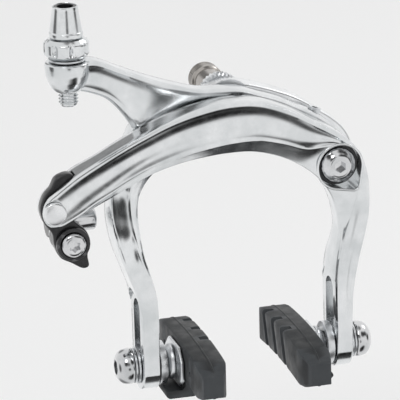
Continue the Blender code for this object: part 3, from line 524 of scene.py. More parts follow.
def round_end(station, direction, dish):
    """Stations that round off an arm's end, from its outermost one inwards."""
    ox, oz, ix, iz, front, back = station[:6]
    middle_x, middle_z = (ox + ix) / 2, (oz + iz) / 2
    half_x, half_z = (ox - ix) / 2, (oz - iz) / 2
    radius = math.hypot(half_x, half_z)
    rows = []
    for angle in (84, 72, 58, 42, 22):
        reach = radius * math.sin(math.radians(angle))
        share = math.cos(math.radians(angle))
        x, z = middle_x + direction[0] * reach, middle_z + direction[1] * reach
        rows.append((x + half_x * share, z + half_z * share, x - half_x * share, z - half_z * share,
                     front, back, dish * share, 0.9, 0.6 * share))
    return rows


def leg_tip(side):
    """Stations of the rounded lower end of an arm, top to bottom, on one side (+1 or -1)."""
    reach = -STUD.z
    rows = []
    for share in (0.0, 0.25, 0.5, 0.7, 0.85, 0.95, 0.995):
        half = LEG_HALF * math.sqrt(1.0 - share * share)
        z = -(reach + 0.3 + LEG_HALF * share)
        rows.append((side * 30.1, z, side * 25.2, z, STUD.y - half, STUD.y + half, 0.0, 0.9, 0.5))
    return rows


def mill_slot_tools(side):
    """Cutters of the pad slot of an arm and of its two milled faces."""
    top = (0.0, STUD.z + SLOT_TRAVEL)
    bottom = (0.0, STUD.z)
    below = (0.0, STUD.z - 12.0)
    tools = []
    for end, radius, low, high in (
        (bottom, STUD_HOLE_R, 0.5 * LEG_INNER, 1.5 * LEG_OUTER),
        (below, WASHER_FACE_R, LEG_OUTER, LEG_OUTER + 5.0),
        (below, WASHER_FACE_R, LEG_INNER - 5.0, LEG_INNER),
    ):
        mesh = plate_mesh(slot_outline(top, end, radius), low, high)
        mesh.transform(Matrix.Rotation(math.radians(-90 * side), 4, "Z"))
        tools.append((CUT, mesh, Matrix.Translation((0.0, STUD.y * MM, 0.0))))
    return tools


def pocket_outline(grow):
    """The teardrop round the side pivot's bolt head: a circle with a point to the lower right."""
    radius = 6.2 + grow
    lobe = Vector((SIDE_PIVOT.x + 3.9, SIDE_PIVOT.z - 5.4))
    lobe_r = 1.5 + grow
    centre = Vector((SIDE_PIVOT.x, SIDE_PIVOT.z))
    away = lobe - centre
    heading = math.atan2(away.y, away.x)
    lean = math.acos((radius - lobe_r) / away.length)
    outline = []
    for k in range(41):
        angle = heading + lean + (2 * math.pi - 2 * lean) * k / 40
        outline.append((centre.x + radius * math.cos(angle), centre.y + radius * math.sin(angle)))
    for k in range(11):
        angle = heading - lean + 2 * lean * k / 10
        outline.append((lobe.x + lobe_r * math.cos(angle), lobe.y + lobe_r * math.sin(angle)))
    return outline


def front_arm():
    """The front arm: dished panel, side-pivot pocket, pad slot and quick-release fork."""
    thick, thin, front = -16.5, FRONT_ARM_BACK, FRONT
    first = (-52.7, -16.6, -50.5, -26.0, front + 1.2, thick, 0.55, 0.93, 0.5)
    stations = round_end(first, (-0.893, -0.451), 0.7) + [
        first,
        (-49.4, -14.2, -45.8, -24.0, front + 1.1, thick, 0.7, 0.90, 0.7),
        (-45.9, -11.8, -41.2, -21.6, front + 0.85, thick, 0.8, 0.86, 0.9),
        (-40.3, -8.6, -35.6, -18.9, front + 0.5, thin, 0.95, 0.83, 1.1),
        (-34.7, -5.6, -30.3, -16.2, front + 0.2, thin, 1.1, 0.81, 1.3),
        (-29.1, -2.9, -24.6, -13.8, front, thin, 1.2, 0.80, 1.5),
        (-20.7, 0.6, -17.0, -11.9, front, thin, 1.3, 0.79, 1.7),
        (-12.3, 2.9, -9.5, -10.9, front, thin, 1.3, 0.78, 1.8),
        (-4.0, 4.1, -3.0, -10.6, front, thin, 1.3, 0.76, 1.9),
        (4.5, 3.5, 3.2, -11.0, front, thin, 1.3, 0.73, 2.0),
        (12.9, 0.4, 9.8, -12.9, front, thin, 1.2, 0.69, 2.0),
        (20.5, -3.8, 15.5, -15.8, front, thin, 1.35, 0.60, 1.9),
        (26.5, -7.4, 19.8, -19.0, front, thin, 0.75, 0.30, 1.0),
        (30.8, -11.2, 22.8, -22.6, front, thin, 0.15, 0.12, 0.6),
        (33.7, -16.2, 24.7, -26.0, front, thin, 0.05, 0.12, 0.8),
        (34.9, -21.6, 25.8, -29.4, front, thin, 0.1, 0.35, 1.2),
        (35.2, -27.0, 26.5, -32.8, front, thin + 0.4, 0.25, 0.62, 1.6),
        (34.8, -32.4, 26.9, -36.2, front + 0.1, thin + 1.3, 0.6, 0.80, 1.4),
        (33.6, -38.4, 26.5, -40.4, front + 0.3, thin + 3.0, 0.8, 0.86, 1.0),
        (32.1, -44.6, 25.7, -45.2, LEG_FRONT, LEG_BACK - 0.5, 0.7, 0.88, 0.8),
        (30.8, -51.5, 25.1, -51.6, LEG_FRONT, LEG_BACK, 0.5, 0.88, 0.6),
        (30.3, -58.0, 25.1, -58.0, LEG_FRONT, LEG_BACK, 0.2, 0.88, 0.6),
        (30.1, -64.5, 25.2, -64.5, LEG_FRONT, LEG_BACK, 0.0, 0.88, 0.6),
    ]
    arm = add_object("front_arm_forging", arm_mesh(stations + leg_tip(1), 6, 0.8))
    floor = FRONT + 4.4
    past = low_of("front_arm").x - 5
    slot = [(past, -32), (past, -6), (-46.6, -6), (-46.6, -16), (-43.5, -22), (-43.5, -32)]
    carve(arm, [
        (CUT, plate_mesh(pocket_outline(0.0), FRONT - 5.0, floor), STILL),
        (CUT, cylinder_mesh(4.1, floor - 1.0, 0.0), at_y(SIDE_PIVOT)),
        (CUT, plate_mesh(slot, *FORK_SLOT), STILL),
        (CUT, cylinder_mesh(3.4, FRONT - 2.0, FRONT + 1.5), at_y(QR_PIN)),
        (CUT, cylinder_mesh(2.3, FRONT, 0.0), at_y(QR_PIN)),
        (CUT, plate_mesh(slot_outline((13.0, -12.8), (12.4, -14.6), 1.5), FRONT_ARM_BACK - 3.0, 0.0), STILL),
    ] + mill_slot_tools(1))
    finish_piece(arm, ALLOY, "front_arm", "front_arm")
    lip = curve_ring("front_arm_pocket_lip", pocket_outline(0.22), FRONT + 0.12, 0.34)
    finish_piece(lip, ALLOY, "front_arm")
    rear, root = -11.6, FRONT_ARM_BACK - 1.0
    finish_piece(turned("front_arm_lug", rounded([(0.0, rear), (2.3, rear), (2.3, root), (0.0, root)], 0.4),
                  at_y(Vector((19.75, 0.0, -13.7))), 40), ALLOY, "front_arm")


def curve_ring(name, outline, y, radius):
    """A bead of round section along a closed (x, z) outline, as a mesh."""
    rows = []
    count = len(outline)
    for i, (x, z) in enumerate(outline):
        before = Vector(outline[i - 1])
        after = Vector(outline[(i + 1) % count])
        ahead = (after - before).normalized()
        out = Vector((ahead.y, 0.0, -ahead.x))
        row = []
        for k in range(12):
            angle = 2 * math.pi * k / 12
            row.append((Vector((x, y, z)) + out * radius * math.cos(angle)
                        + Vector((0.0, radius * math.sin(angle), 0.0))) * MM)
        rows.append(row)
    return add_object(name, mesh_of(skin(rows + [rows[0]], closed_ends=False), name))


def rear_arm():
    """The rear arm: dished upper branch with the adjuster boss, and the left leg."""
    front, back = REAR_FRONT, REAR_BACK
    plain = (front, back, 0.0, 0.8, 0.5)
    branch = [
        (-45.9, 16.2, -46.6, 9.9, -17.4, -11.0, 0.0, 0.9, 0.3),
        (-43.6, 16.7, -44.8, 9.4, front + 0.1, back + 0.3, 0.4, 0.9, 0.4),
        (-41.5, 16.9, -43.2, 8.9, front, back + 0.4, 0.8, 0.9, 0.5),
        (-37.6, 16.6, -40.2, 8.0, front, back, 1.1, 0.9, 0.6),
        (-32.0, 14.1, -35.8, 5.9, front, back, 1.3, 0.9, 0.7),
        (-26.6, 11.7, -31.8, 1.6, front, back, 1.4, 0.9, 0.7),
        (-21.1, 9.5, -27.0, -5.5, front, back, 1.4, 0.86, 0.7),
        (-15.6, 7.6, -19.5, -10.3, front, back, 1.2, 0.8, 0.7),
        (-10.1, 6.0, -11.0, -10.4, front, back, 0.8, 0.8, 0.6),
        (-4.5, 5.6, -4.0, -9.9, front, back, 0.3, 0.8, 0.5),
        (1.2, 5.2, 1.0, -9.6, *plain),
        (6.8, 3.2, 5.2, -9.3, *plain),
        (12.5, 1.2, 10.0, -8.4, *plain),
        (18.1, -1.5, 15.8, -8.9, *plain),
        (22.6, -3.8, 20.6, -9.6, *plain),
        (27.0, -7.2, 25.6, -10.6, front, back, 0.0, 0.8, 0.4),
        (30.4, -10.6, 29.7, -11.8, front + 0.6, back - 0.6, 0.0, 0.8, 0.1),
    ]
    leg = [
        (-20.0, 4.0, -10.0, -6.0, front + 3.0, back - 0.3, 0.0, 0.5, 1.5),
        (-27.4, -1.0, -14.5, -11.0, front + 1.0, back, 0.1, 0.50, 2.2),
        (-30.6, -6.4, -20.0, -14.9, front, back, 0.2, 0.50, 2.6),
        (-33.4, -13.0, -24.1, -18.6, front, back, 0.3, 0.54, 2.9),
        (-35.5, -19.0, -26.7, -22.8, front, back - 0.1, 0.35, 0.60, 3.0),
        (-36.4, -24.6, -28.1, -27.2, front - 2.6, back - 0.3, 0.35, 0.66, 3.0),
        (-36.3, -30.4, -28.6, -32.0, front - 6.3, back - 0.8, 0.3, 0.72, 2.6),
        (-35.1, -36.8, -28.2, -37.6, LEG_FRONT + 0.2, back - 1.4, 0.3, 0.80, 1.8),
        (-32.9, -43.2, -26.7, -43.3, LEG_FRONT, LEG_BACK - 0.2, 0.3, 0.88, 1.0),
        (-30.9, -49.4, -25.4, -49.4, LEG_FRONT, LEG_BACK, 0.25, 0.92, 0.6),
        (-30.2, -56.0, -25.1, -56.0, LEG_FRONT, LEG_BACK, 0.15, 0.92, 0.6),
        (-30.1, -63.0, -25.2, -63.0, LEG_FRONT, LEG_BACK, 0.0, 0.92, 0.6),
    ]
    arm = add_object("rear_arm_forging", arm_mesh(leg + leg_tip(-1), 6, 0.8))
    hub = Vector((0.0, 0.0, 0.0))
    head_floor = REAR_FRONT + 3.2
    screw = middle("centring_screw")
    screw_place = Matrix.Translation(screw * MM) @ along((0.3231, 0.0, 0.9463))
    boss_place = Matrix.Translation(Vector((ADJUSTER.x, ADJUSTER.y, 0.0)) * MM)
    boss = [(0.0, 16.9), (5.6, 16.9), (6.1, 16.6), (6.15, 15.4), (6.0, 13.6), (5.5, 11.6), (4.8, 10.1),
            (4.1, 9.1), (3.5, 8.6), (0.0, 8.6)]
    carve(arm, [
        (JOIN, arm_mesh(branch, 6, 0.7), STILL),
        (JOIN, turned_mesh(rounded(boss, 0.4)), boss_place),
        (CUT, cylinder_mesh(3.0, 0.0, 30.0), boss_place),
        (CUT, cylinder_mesh(4.4, REAR_FRONT - 2.0, head_floor), at_y(hub)),
        (CUT, cylinder_mesh(4.1, head_floor - 1.0, 0.0), at_y(hub)),
        (CUT, cylinder_mesh(2.0, -15.0, 15.0, 32), screw_place),
        (CUT, plate_mesh(slot_outline((-21.5, -9.0), (-22.3, -6.8), 1.5), REAR_BACK - 2.6, 0.0), STILL),
    ] + mill_slot_tools(-1))
    finish_piece(arm, ALLOY, "rear_arm", "rear_arm")


# ---- bracket and mounting pieces ----


def pivot_bracket():
    """The fixed bracket behind the arms, with softened edges."""
    front, back = low_of("rear_thrust_washer").y + 1.0, low_of("serrated_washer").y - GAP
    x, z = SIDE_PIVOT.x, SIDE_PIVOT.z
    outline = [
        (-17.0, -6.8), (-17.6, -2.6), (-14.6, 0.8), (-10.0, 1.4), (-6.2, 3.0), (-1.0, 4.7), (4.0, 4.5),
        (8.6, 3.3), (13.8, 1.5), (19.5, -1.0), (25.2, -4.6), (31.0, -8.9), (34.2, -12.9),
        (x + 8.8, z - 0.5), (x + 7.0, z - 5.4), (x + 2.2, z - 8.4), (x - 2.4, z - 6.9), (21.2, -18.8),
        (16.6, -13.6), (12.4, -8.8), (6.6, -7.4), (0.0, -7.6), (-6.0, -6.6), (-9.4, -7.0), (-13.2, -8.4),
    ]
    bracket = add_object("bracket_forging", plate_mesh(closed_path(outline, 6), front, back))
    soften(bracket, 0.9, 4, 50)
    boss_front = high_of("side_thrust_washer").y + GAP
    post = SPRING_POST
    carve(bracket, [
        (JOIN, cylinder_mesh(4.8, boss_front, front + 1.5), at_y(SIDE_PIVOT)),
        (CUT, cylinder_mesh(3.3, front - 1.0, 0.0), at_y(Vector((0.0, 0.0, 0.0)))),
        (CUT, cylinder_mesh(3.3, boss_front - 1.0, back - 1.5), at_y(SIDE_PIVOT)),
        (CUT, cylinder_mesh(6.1, front - 1.0, front + 4.6, 64), at_y(post)),
        (CUT, cylinder_mesh(1.8, front + 3.6, 0.0, 32), at_y(post)),
    ])
    finish_piece(bracket, CAST, "bracket", "pivot_bracket")


def threads(radius, low, high, pitch, depth):
    """Ridges of a thread from `low` up to `high` as (radius, height) points, top to bottom."""
    points = []
    for k in range(int((high - low) / pitch)):
        points += [(radius - depth * cut, high - k * pitch - share * pitch)
                   for share, cut in ((0.08, 1), (0.42, 0), (0.58, 0), (0.92, 1))]
    return points


def hexagon(target, radius, low, high, place):
    """Cuts a key socket into a head."""
    carve(target, [(CUT, cylinder_mesh(radius, low, high, 6), place)])


def mounting_pieces():
    """The mounting bolt, its recessed nut and the serrated washer."""
    hub = at_y(Vector((0.0, 0.0, 0.0)))
    head_front, tip = low_of("mounting_bolt").y, high_of("mounting_bolt").y
    head_back = head_front + 1.8
    bolt = turned("mounting_bolt_m6", [
        (0.0, tip), (2.5, tip), *threads(3.0, 0.4, tip - 0.2, 1.0, 0.38), (3.0, 0.2), (3.0, head_back),
        (3.8, head_back), (4.1, head_back - 0.3), (4.1, head_front + 0.35), (3.8, head_front),
        (0.0, head_front),
    ], hub, 64)
    hexagon(bolt, 2.3, head_front - 1.0, head_front + 1.4, hub)
    finish_piece(bolt, STEEL, "bracket", "mounting_bolt")
    start, end = low_of("recessed_nut").y, high_of("recessed_nut").y
    profile = [(2.9, end), (4.25, end), (4.6, end - 0.35)]
    for k in range(3):
        top = end - 0.8 - 1.0 * k
        profile += [(4.6, top), (4.2, top - 0.15), (4.2, top - 0.45), (4.6, top - 0.6)]
    profile += [(4.6, end - 4.2), (4.5, end - 4.6), (4.0, end - 5.1), (4.0, start + 0.4), (3.7, start),
                (3.3, start), (3.3, end - 2.4), (2.9, end - 2.4)]
    finish_piece(turned("mounting_nut", profile, hub, 96), BURNISHED, "bracket", "recessed_nut")
    back, front = high_of("serrated_washer").y, low_of("serrated_washer").y

    def serrated(radius, _, angle):
        """Straight knurling on the outside only."""
        if radius < 5.0:
            return radius
        wave = abs((angle * 30 / (2 * math.pi)) % 1.0 - 0.5) * 2
        return radius - 0.42 * wave

    finish_piece(turned("knurled_washer", [
        (3.3, back), (5.35, back), (5.9, back - 0.35), (5.9, (back + front) / 2), (5.9, front + 0.35),
        (5.35, front), (3.3, front),
    ], hub, 240, serrated), ZINC, "bracket", "serrated_washer")


def side_pivot_pieces():
    """The side pivot's bolt: a coned head with a flat, a key socket and a notched rim."""
    place = at_y(SIDE_PIVOT)
    front, tip = low_of("side_pivot_bolt").y + 0.5, high_of("side_pivot_bolt").y
    head_back = front + 3.1

    def notched(radius, height, angle):
        """Small notches round the rim of the head."""
        if radius < 4.9 or height > head_back + 0.1:
            return radius
        wave = (angle * 14 / (2 * math.pi)) % 1.0
        return radius - (0.08 if wave < 0.28 else 0.0)

    bolt = turned("side_pivot_bolt_m6", [
        (0.0, tip), (2.6, tip), (3.0, tip - 0.4), (3.0, head_back), (4.7, head_back), (5.0, head_back - 0.2),
        (5.0, front + 1.75), (4.9, front + 1.45), (4.55, front + 1.15), (4.1, front + 0.95),
        (3.55, front + 0.45), (3.1, front + 0.12), (2.85, front), (2.55, front - 0.04), (0.0, front - 0.04),
    ], place, 112, notched)
    hexagon(bolt, 1.75, front - 1.0, front + 2.0, place)
    finish_piece(bolt, STEEL, "bracket", "side_pivot_bolt")
    floor, back = low_of("side_pivot_washer").y, high_of("side_pivot_washer").y
    shim = rounded([(3.3, back), (4.6, back), (6.0, back - 0.2), (6.0, floor), (3.3, floor)], 0.1)
    finish_piece(turned("side_pivot_shim", shim, place, 96), BLACK, "bracket", "side_pivot_washer")


# ---- adjuster ----


def adjuster_pieces():
    """The barrel adjuster: conical barrel, scalloped collar and threaded stem."""
    place = Matrix.Translation(Vector((ADJUSTER.x, ADJUSTER.y, 0.0)) * MM)
    low, high = low_of("adjuster_collar").z, high_of("adjuster_collar").z
    height = high - low

    def scalloped(radius, z, angle):
        """Eight hollows round the collar's middle."""
        share = (z - low) / height
        if radius < 5.0 or not 0.2 < share < 0.86:
            return radius
        wave = max(0.0, math.cos(angle * 8))
        return radius - 0.95 * wave ** 3 * math.sin(math.pi * (share - 0.2) / 0.66) ** 0.6

    rows = [(3.0, high), (4.9, high), (5.2, high - 0.25), (6.05, high - 0.95), (6.2, high - 1.25)]
    rows += [(6.2, high - 1.25 - (height - 2.6) * k / 8) for k in range(1, 9)]
    rows += [(6.1, low + 1.0), (5.95, low + 0.85), (5.55, low + 0.35), (5.2, low), (3.0, low)]
    finish_piece(turned("adjuster_crown", rows, place, 160, scalloped),
                 ALLOY, "adjuster_collar", "adjuster_collar")
    top, bottom, foot = high_of("adjuster_barrel").z, high + GAP, low_of("adjuster_barrel").z
    finish_piece(turned("adjuster_cone", rounded([
        (3.0, top - 0.4), (3.1, top), (3.5, top - 0.12), (3.6, top - 1.2), (4.42, bottom + 1.75),
        (4.35, bottom + 1.55), (4.6, bottom + 1.35), (4.6, bottom + 0.25), (4.35, bottom), (2.7, bottom),
    ], 0.18, 2) + [(2.7, 8.9)] + threads(2.7, foot + 0.6, 8.8, 0.9, 0.42) + [
        (2.35, foot + 0.35), (2.1, foot), (1.2, foot), (1.2, top - 7.0), (2.95, top - 7.0), (2.95, top - 0.6),
    ], place, 96), ALLOY, "adjuster_barrel", "adjuster_barrel")
    finish_piece(turned("adjuster_liner", rounded([
        (0.0, top - 6.0), (2.9, top - 6.0), (2.9, top - 0.1), (2.2, top - 0.2), (2.2, top - 3.0),
        (0.0, top - 3.0)], 0.1), place, 64), BLACK, "adjuster_barrel")
    low, high = low_of("adjuster_seat_washer").z, high_of("adjuster_seat_washer").z
    seat = rounded([(3.1, high), (5.0, high), (5.0, low), (3.1, low)], 0.2)
    finish_piece(turned("adjuster_seat_ring", seat, place, 96), ZINC, "rear_arm", "adjuster_seat_washer")


# ---- quick release and cable anchor ----


def quick_release():
    """The black quick-release lever with its anchor boss, pin, bolt and clamp."""
    front, back = low_of("qr_lever").y + 1.5, FORK_SLOT[1] - GAP
    outline = [
        (-53.3, -15.6), (-51.8, -13.0), (-48.8, -11.9), (-46.9, -12.7), (-47.2, -15.0), (-49.3, -18.0),
        (-49.2, -21.6), (-47.2, -25.4), (-44.0, -28.6), (-43.0, -32.0), (-43.9, -35.4), (-43.6, -38.4),
        (-45.4, -39.0), (-48.4, -37.2), (-51.4, -35.4), (-52.9, -32.0), (-53.4, -28.4), (-55.6, -25.0),
        (-56.4, -21.4), (-55.4, -18.0),
    ]
    lever = add_object("quick_release_lever", plate_mesh(closed_path(outline, 5), front, back))
    soften(lever, 0.5, 3, 50)
    anchor = at_y(ANCHOR)
    boss_front, boss_back = low_of("qr_lever").y, high_of("qr_lever").y
    boss = [(0.0, boss_back), (4.7, boss_back), (4.7, boss_front), (0.0, boss_front)]
    carve(lever, [
        (JOIN, turned_mesh(rounded(boss, 0.7), 72), anchor),
        (CUT, cylinder_mesh(3.75, boss_front - 1.0, boss_front + 1.2, 64), anchor),
        (CUT, cylinder_mesh(2.5, boss_front, 0.0), anchor),
        (CUT, cylinder_mesh(2.3, front - 1.0, 0.0), at_y(QR_PIN)),
    ])
    finish_piece(lever, BLACK, "qr_lever", "qr_lever")
    head = low_of("qr_pin").y
    finish_piece(turned("quick_release_rivet", [
        (0.0, high_of("qr_pin").y), (2.0, high_of("qr_pin").y), (2.0, head + 1.6), (3.1, head + 1.6),
        (3.1, head + 0.42), (2.95, head + 0.26), (2.5, head + 0.14), (1.6, head + 0.04), (0.0, head),
    ], at_y(QR_PIN), 72), CAST, "front_arm", "qr_pin")
    head, tail = low_of("cable_anchor_bolt").y, high_of("cable_anchor_bolt").y
    bolt = turned("anchor_bolt", [
        (0.0, tail), (2.2, tail), (2.2, head + 2.2), (3.4, head + 2.2), (3.4, head + 1.0),
        (3.25, head + 0.62), (2.85, head + 0.25), (2.4, head + 0.06), (2.1, head), (0.0, head),
    ], anchor, 80)
    star = [(r * math.cos(math.pi * k / 6), r * math.sin(math.pi * k / 6))
            for k in range(12) for r in ((1.75,) if k % 2 else (1.3,))]
    star = closed_path([(ANCHOR.x + x, ANCHOR.z + z) for x, z in star], 3)
    carve(bolt, [(CUT, plate_mesh(star, head - 1.0, head + 1.6), STILL)])
    finish_piece(bolt, STEEL, "qr_lever", "cable_anchor_bolt")
    left, right = low_of("cable_clamp_nut"), high_of("cable_clamp_nut")
    centre = (left + right) / 2
    half = (right.x - left.x) / 2
    across = Matrix.Translation(centre * MM) @ along((-1.0, 0.0, 0.0))
    finish_piece(turned("clamp_nut", rounded([
        (0.0, half), (2.6, half), (3.2, half - 0.5), (3.2, half - 3.4), (2.9, half - 3.6), (2.9, half - 4.1),
        (3.2, half - 4.3), (3.2, -half + 0.6), (2.7, -half), (1.2, -half), (1.2, -half + 1.2),
        (0.0, -half + 1.2),
    ], 0.12, 2), across, 72), STEEL, "qr_lever", "cable_clamp_nut")
    near, far = half + 0.1, half + 2.2
    flange = rounded([(0.0, near), (3.2, near), (4.0, half + 0.7), (4.0, far), (0.0, far)], 0.3)
    finish_piece(turned("anchor_flange", flange, across, 72), BLACK, "qr_lever")


# ---- pads ----

SHOE_FACE = 10.2              # from the centre plane to the braking face
SHOE_DEPTH = 8.8              # from the braking face to the shoe's back
SHOE_HALF_HEIGHT = 5.0
SHOE_PARTING = 4.6            # from the braking face to the parting ridge
SHOE_ARCH = 1.6               # rise of the shoe's middle above its ends
SHOE_TAPER = 7.0              # length over which each end narrows


def shoe_section(squeeze):
    """Points of a shoe's section as (from the braking face outwards, up), with its parting ridge."""
    top, part, back = SHOE_HALF_HEIGHT * squeeze, SHOE_PARTING, SHOE_DEPTH
    upper = [(0.0, top - 0.9), (0.25, top - 0.3), (0.9, top), (part - 0.35, top), (part - 0.1, top + 0.18),
             (part + 0.12, top + 0.18), (part + 0.35, top), (back - 0.9, top), (back - 0.25, top - 0.3),
             (back, top - 0.9)]
    lower = [(out, -up) for out, up in reversed(upper)]
    return lower[-1:] + [(0.0, 0.0)] + upper + [(back, 0.0)] + lower[:-1]


def brake_shoe(side, word):
    """A curved rubber shoe: two layers, slanted grooves in the face, narrowed ends and a fin."""
    length = high_of(word + "_brake_shoe").y - low_of(word + "_brake_shoe").y
    half = length / 2
    rows = []
    count = 64
    for k in range(count + 1):
        t = 2 * k / count - 1
        y = half * t
        squeeze = 1.0
        reach = half - abs(y)
        if reach < SHOE_TAPER:
            squeeze = 0.60 + 0.40 * math.sin(math.pi / 2 * reach / SHOE_TAPER) ** 0.8
        rise = SHOE_ARCH * (1 - t * t)
        row = []
        for out, up in shoe_section(squeeze):
            out = min(max(out, 5.5 * (1 - squeeze)), SHOE_DEPTH - 2.5 * (1 - squeeze))
            row.append(Vector((side * (SHOE_FACE + out), STUD.y + y, STUD.z + rise + up)) * MM)
        rows.append(row)
    shoe = add_object(word + "_rubber_shoe", mesh_of(skin(rows), "shoe"))
    tools = []
    turn = Matrix.Rotation(math.radians(-22), 4, "X")
    for k in range(3):
        y = STUD.y + half * (-0.22 + 0.36 * k)
        groove = [(-0.9, -3.0), (0.9, -3.0), (1.3, -0.5), (1.3, 3.0), (-1.3, 3.0), (-1.3, -0.5)]
        rows = [[Vector((side * -b, a, z)) * MM for a, b in groove] for z in (-15.0, 15.0)]
        mesh = mesh_of(skin(rows), "groove")
        spot = Vector((side * SHOE_FACE, y, STUD.z)) * MM
        tools.append((CUT, mesh, Matrix.Translation(spot) @ turn))
    for y in (STUD.y - 13.5, STUD.y + 13.5):
        spot = Vector((side * (SHOE_FACE + SHOE_DEPTH), y, STUD.z + 0.6)) * MM
        hole = Matrix.Translation(spot) @ along((1.0, 0.0, 0.0))
        tools.append((CUT, cylinder_mesh(0.8, -2.5, 2.5, 24), hole))
    end = LEG_INNER - 1.1
    fin = rounded([(0.0, -73.4), (14.6, -73.4), (14.6, -77.2), (15.8, -78.6), (end - 1.0, -78.6),
                   (end, -77.6), (end - 0.6, -76.4), (19.3, -76.4), (18.5, -75.6), (18.5, -73.4)],
                  0.5)[1:]
    fin = [(side * x, z) for x, z in fin]
    body = add_object("fin", plate_mesh(fin, STUD.y - 6.7, STUD.y + 5.2))
    soften(body, 0.9, 3, 50)
    tools.append((JOIN, body.data, STILL))
    bpy.data.objects.remove(body)
    carve(shoe, tools)
    soften(shoe, 0.22, 2, 45)
    finish_piece(shoe, RUBBER, word + "_pad", word + "_brake_shoe")


def backing_plate(side, word):
    """The pad's pressed metal plate: clipped corners and a raised middle."""
    low, high = low_of(word + "_backing_plate"), high_of(word + "_backing_plate")
    inner = min(abs(low.x), abs(high.x))
    length, height = (high.y - low.y) / 2, (high.z - low.z) / 2
    outline = [(-length, -height + 2.2), (-length + 2.6, -height), (length - 2.6, -height),
               (length, -height + 2.2), (length, height - 3.4), (length - 3.6, height),
               (-length + 3.6, height), (-length, height - 3.4)]
    rows = []
    for out, shrink in ((0.0, 1.0), (0.75, 1.0), (0.95, 0.94), (0.98, 0.74), (1.2, 0.66)):
        rows.append([Vector((side * (inner + out), STUD.y + a * shrink, STUD.z + b * shrink)) * MM
                     for a, b in outline])
    plate = add_object(word + "_pressed_plate", mesh_of(skin(rows), "plate"))
    soften(plate, 0.12, 2, 20)
    finish_piece(plate, ZINC, word + "_pad", word + "_backing_plate")


def pad_hardware(side, word):
    """The stud, its washers and the domed cap nut."""
    place = Matrix.Translation(Vector((0.0, STUD.y, STUD.z)) * MM) @ along((side, 0.0, 0.0))

    def span(node):
        """Distances from the centre plane to a node's near and far ends."""
        ends = sorted((abs(low_of(node).x), abs(high_of(node).x)))
        return ends[0], ends[1]

    low, high = span(word + "_pad_stud")
    finish_piece(turned(word + "_threaded_stud", [
        (0.0, high), (2.6, high), *threads(3.0, low + 4.0, high - 0.2, 1.0, 0.36), (3.0, low + 3.9),
        (3.0, low), (0.0, low)], place, 64), STEEL, word + "_pad", word + "_pad_stud")
    low, high = span(word + "_convex_washer")
    finish_piece(turned(word + "_domed_washer", [
        (3.3, high), (3.7, high), (4.2, high - 0.35), (4.65, high - 0.8), (4.92, low + 0.6), (5.0, low + 0.3),
        (4.9, low), (3.3, low)], place, 96), ZINC, word + "_toe_washers", word + "_convex_washer")
    low, high = span(word + "_concave_washer")
    finish_piece(turned(word + "_dished_washer", rounded([
        (3.3, high), (6.1, high), (6.1, low), (4.5, low), (3.3, low + 0.6)], 0.25), place, 120),
                 ZINC, word + "_slot_washers", word + "_concave_washer")
    for node, body in (("_outer_washer", "_slot_washers"), ("_nut_washer", "_toe_washers")):
        low, high = span(word + node)
        radius = high_of(word + node).z - STUD.z
        flat = rounded([(3.3, high), (radius, high), (radius, low), (3.3, low)], 0.14)
        finish_piece(turned(word + node + "_ring", flat, place, 96), ZINC, word + body, word + node)
    low, high = span(word + "_cap_nut")
    nut = turned(word + "_domed_nut", [
        (0.0, high), (2.5, high), (3.0, high - 0.1), (3.6, high - 0.45), (4.2, high - 0.95),
        (4.65, high - 1.6), (4.9, high - 2.4), (5.0, high - 3.1), (5.0, low + 0.35), (4.8, low),
        (3.3, low), (3.3, low + 2.0),
        (0.0, low + 2.2)], place, 112)
    hexagon(nut, 2.25, high - 1.3, high + 1.0, place)
    finish_piece(nut, STEEL, word + "_toe_washers", word + "_cap_nut")


# ---- spring ----


def return_spring():
    """The wire spring on a smooth route round its post and into both arms."""
    turn_front = REAR_BACK + 1.4
    pitch, turns, start, coil_r = 2.1, 1.25, math.radians(200), 4.6
    coil = []
    for k in range(16):
        angle = start + 2 * math.pi * turns * k / 15
        coil.append((SPRING_POST.x + coil_r * math.cos(angle), turn_front + pitch * turns * k / 15,
                     SPRING_POST.z + coil_r * math.sin(angle)))
    back = coil[-1][1]
    left = [(-21.5, REAR_BACK - 2.2, -9.0), (-21.5, turn_front - 1.4, -9.0), (-21.0, turn_front - 0.3, -8.6),
            (-19.9, turn_front, -7.4)]
    right = [(-7.6, back, -9.2), (-2.0, back, -10.3), (6.0, back, -11.5), (11.4, back, -12.6),
             (12.6, back - 0.4, -12.8), (13.0, back - 1.6, -12.8), (13.0, FRONT_ARM_BACK - 2.4, -12.8)]
    data = bpy.data.curves.new("return_spring_wire", "CURVE")
    data.dimensions = "3D"
    data.bevel_depth = 0.9 * MM
    data.bevel_resolution = 5
    data.use_fill_caps = True
    route = smooth_path(left + coil + right, 4)
    spline = data.splines.new("POLY")
    spline.points.add(len(route) - 1)
    for point, place in zip(spline.points, route):
        point.co = (*[value * MM for value in place], 1.0)
    spring = add_object("return_spring_wire", data)
    finish_piece(spring, WIRE, "bracket", "return_spring")


# ---- CAD nodes that stay ----


def dress_nodes():
    """Materials for the CAD nodes that are shown as they are."""
    finishes = {"polished_alloy": CAST, "plated_steel": ZINC, "black_anodised": BLACK,
                "bush_bronze": BRONZE, "spring_steel": WIRE, "pad_rubber": RUBBER}
    slots = {row["node"]: row["material_slot"] for row in frame["record"]["subparts"]}
    for name, node in NODES.items():
        if node.hide_render:
            continue
        node.data.materials.clear()
        node.data.materials.append(finishes[slots[name]])


# ---- floor, light and camera ----


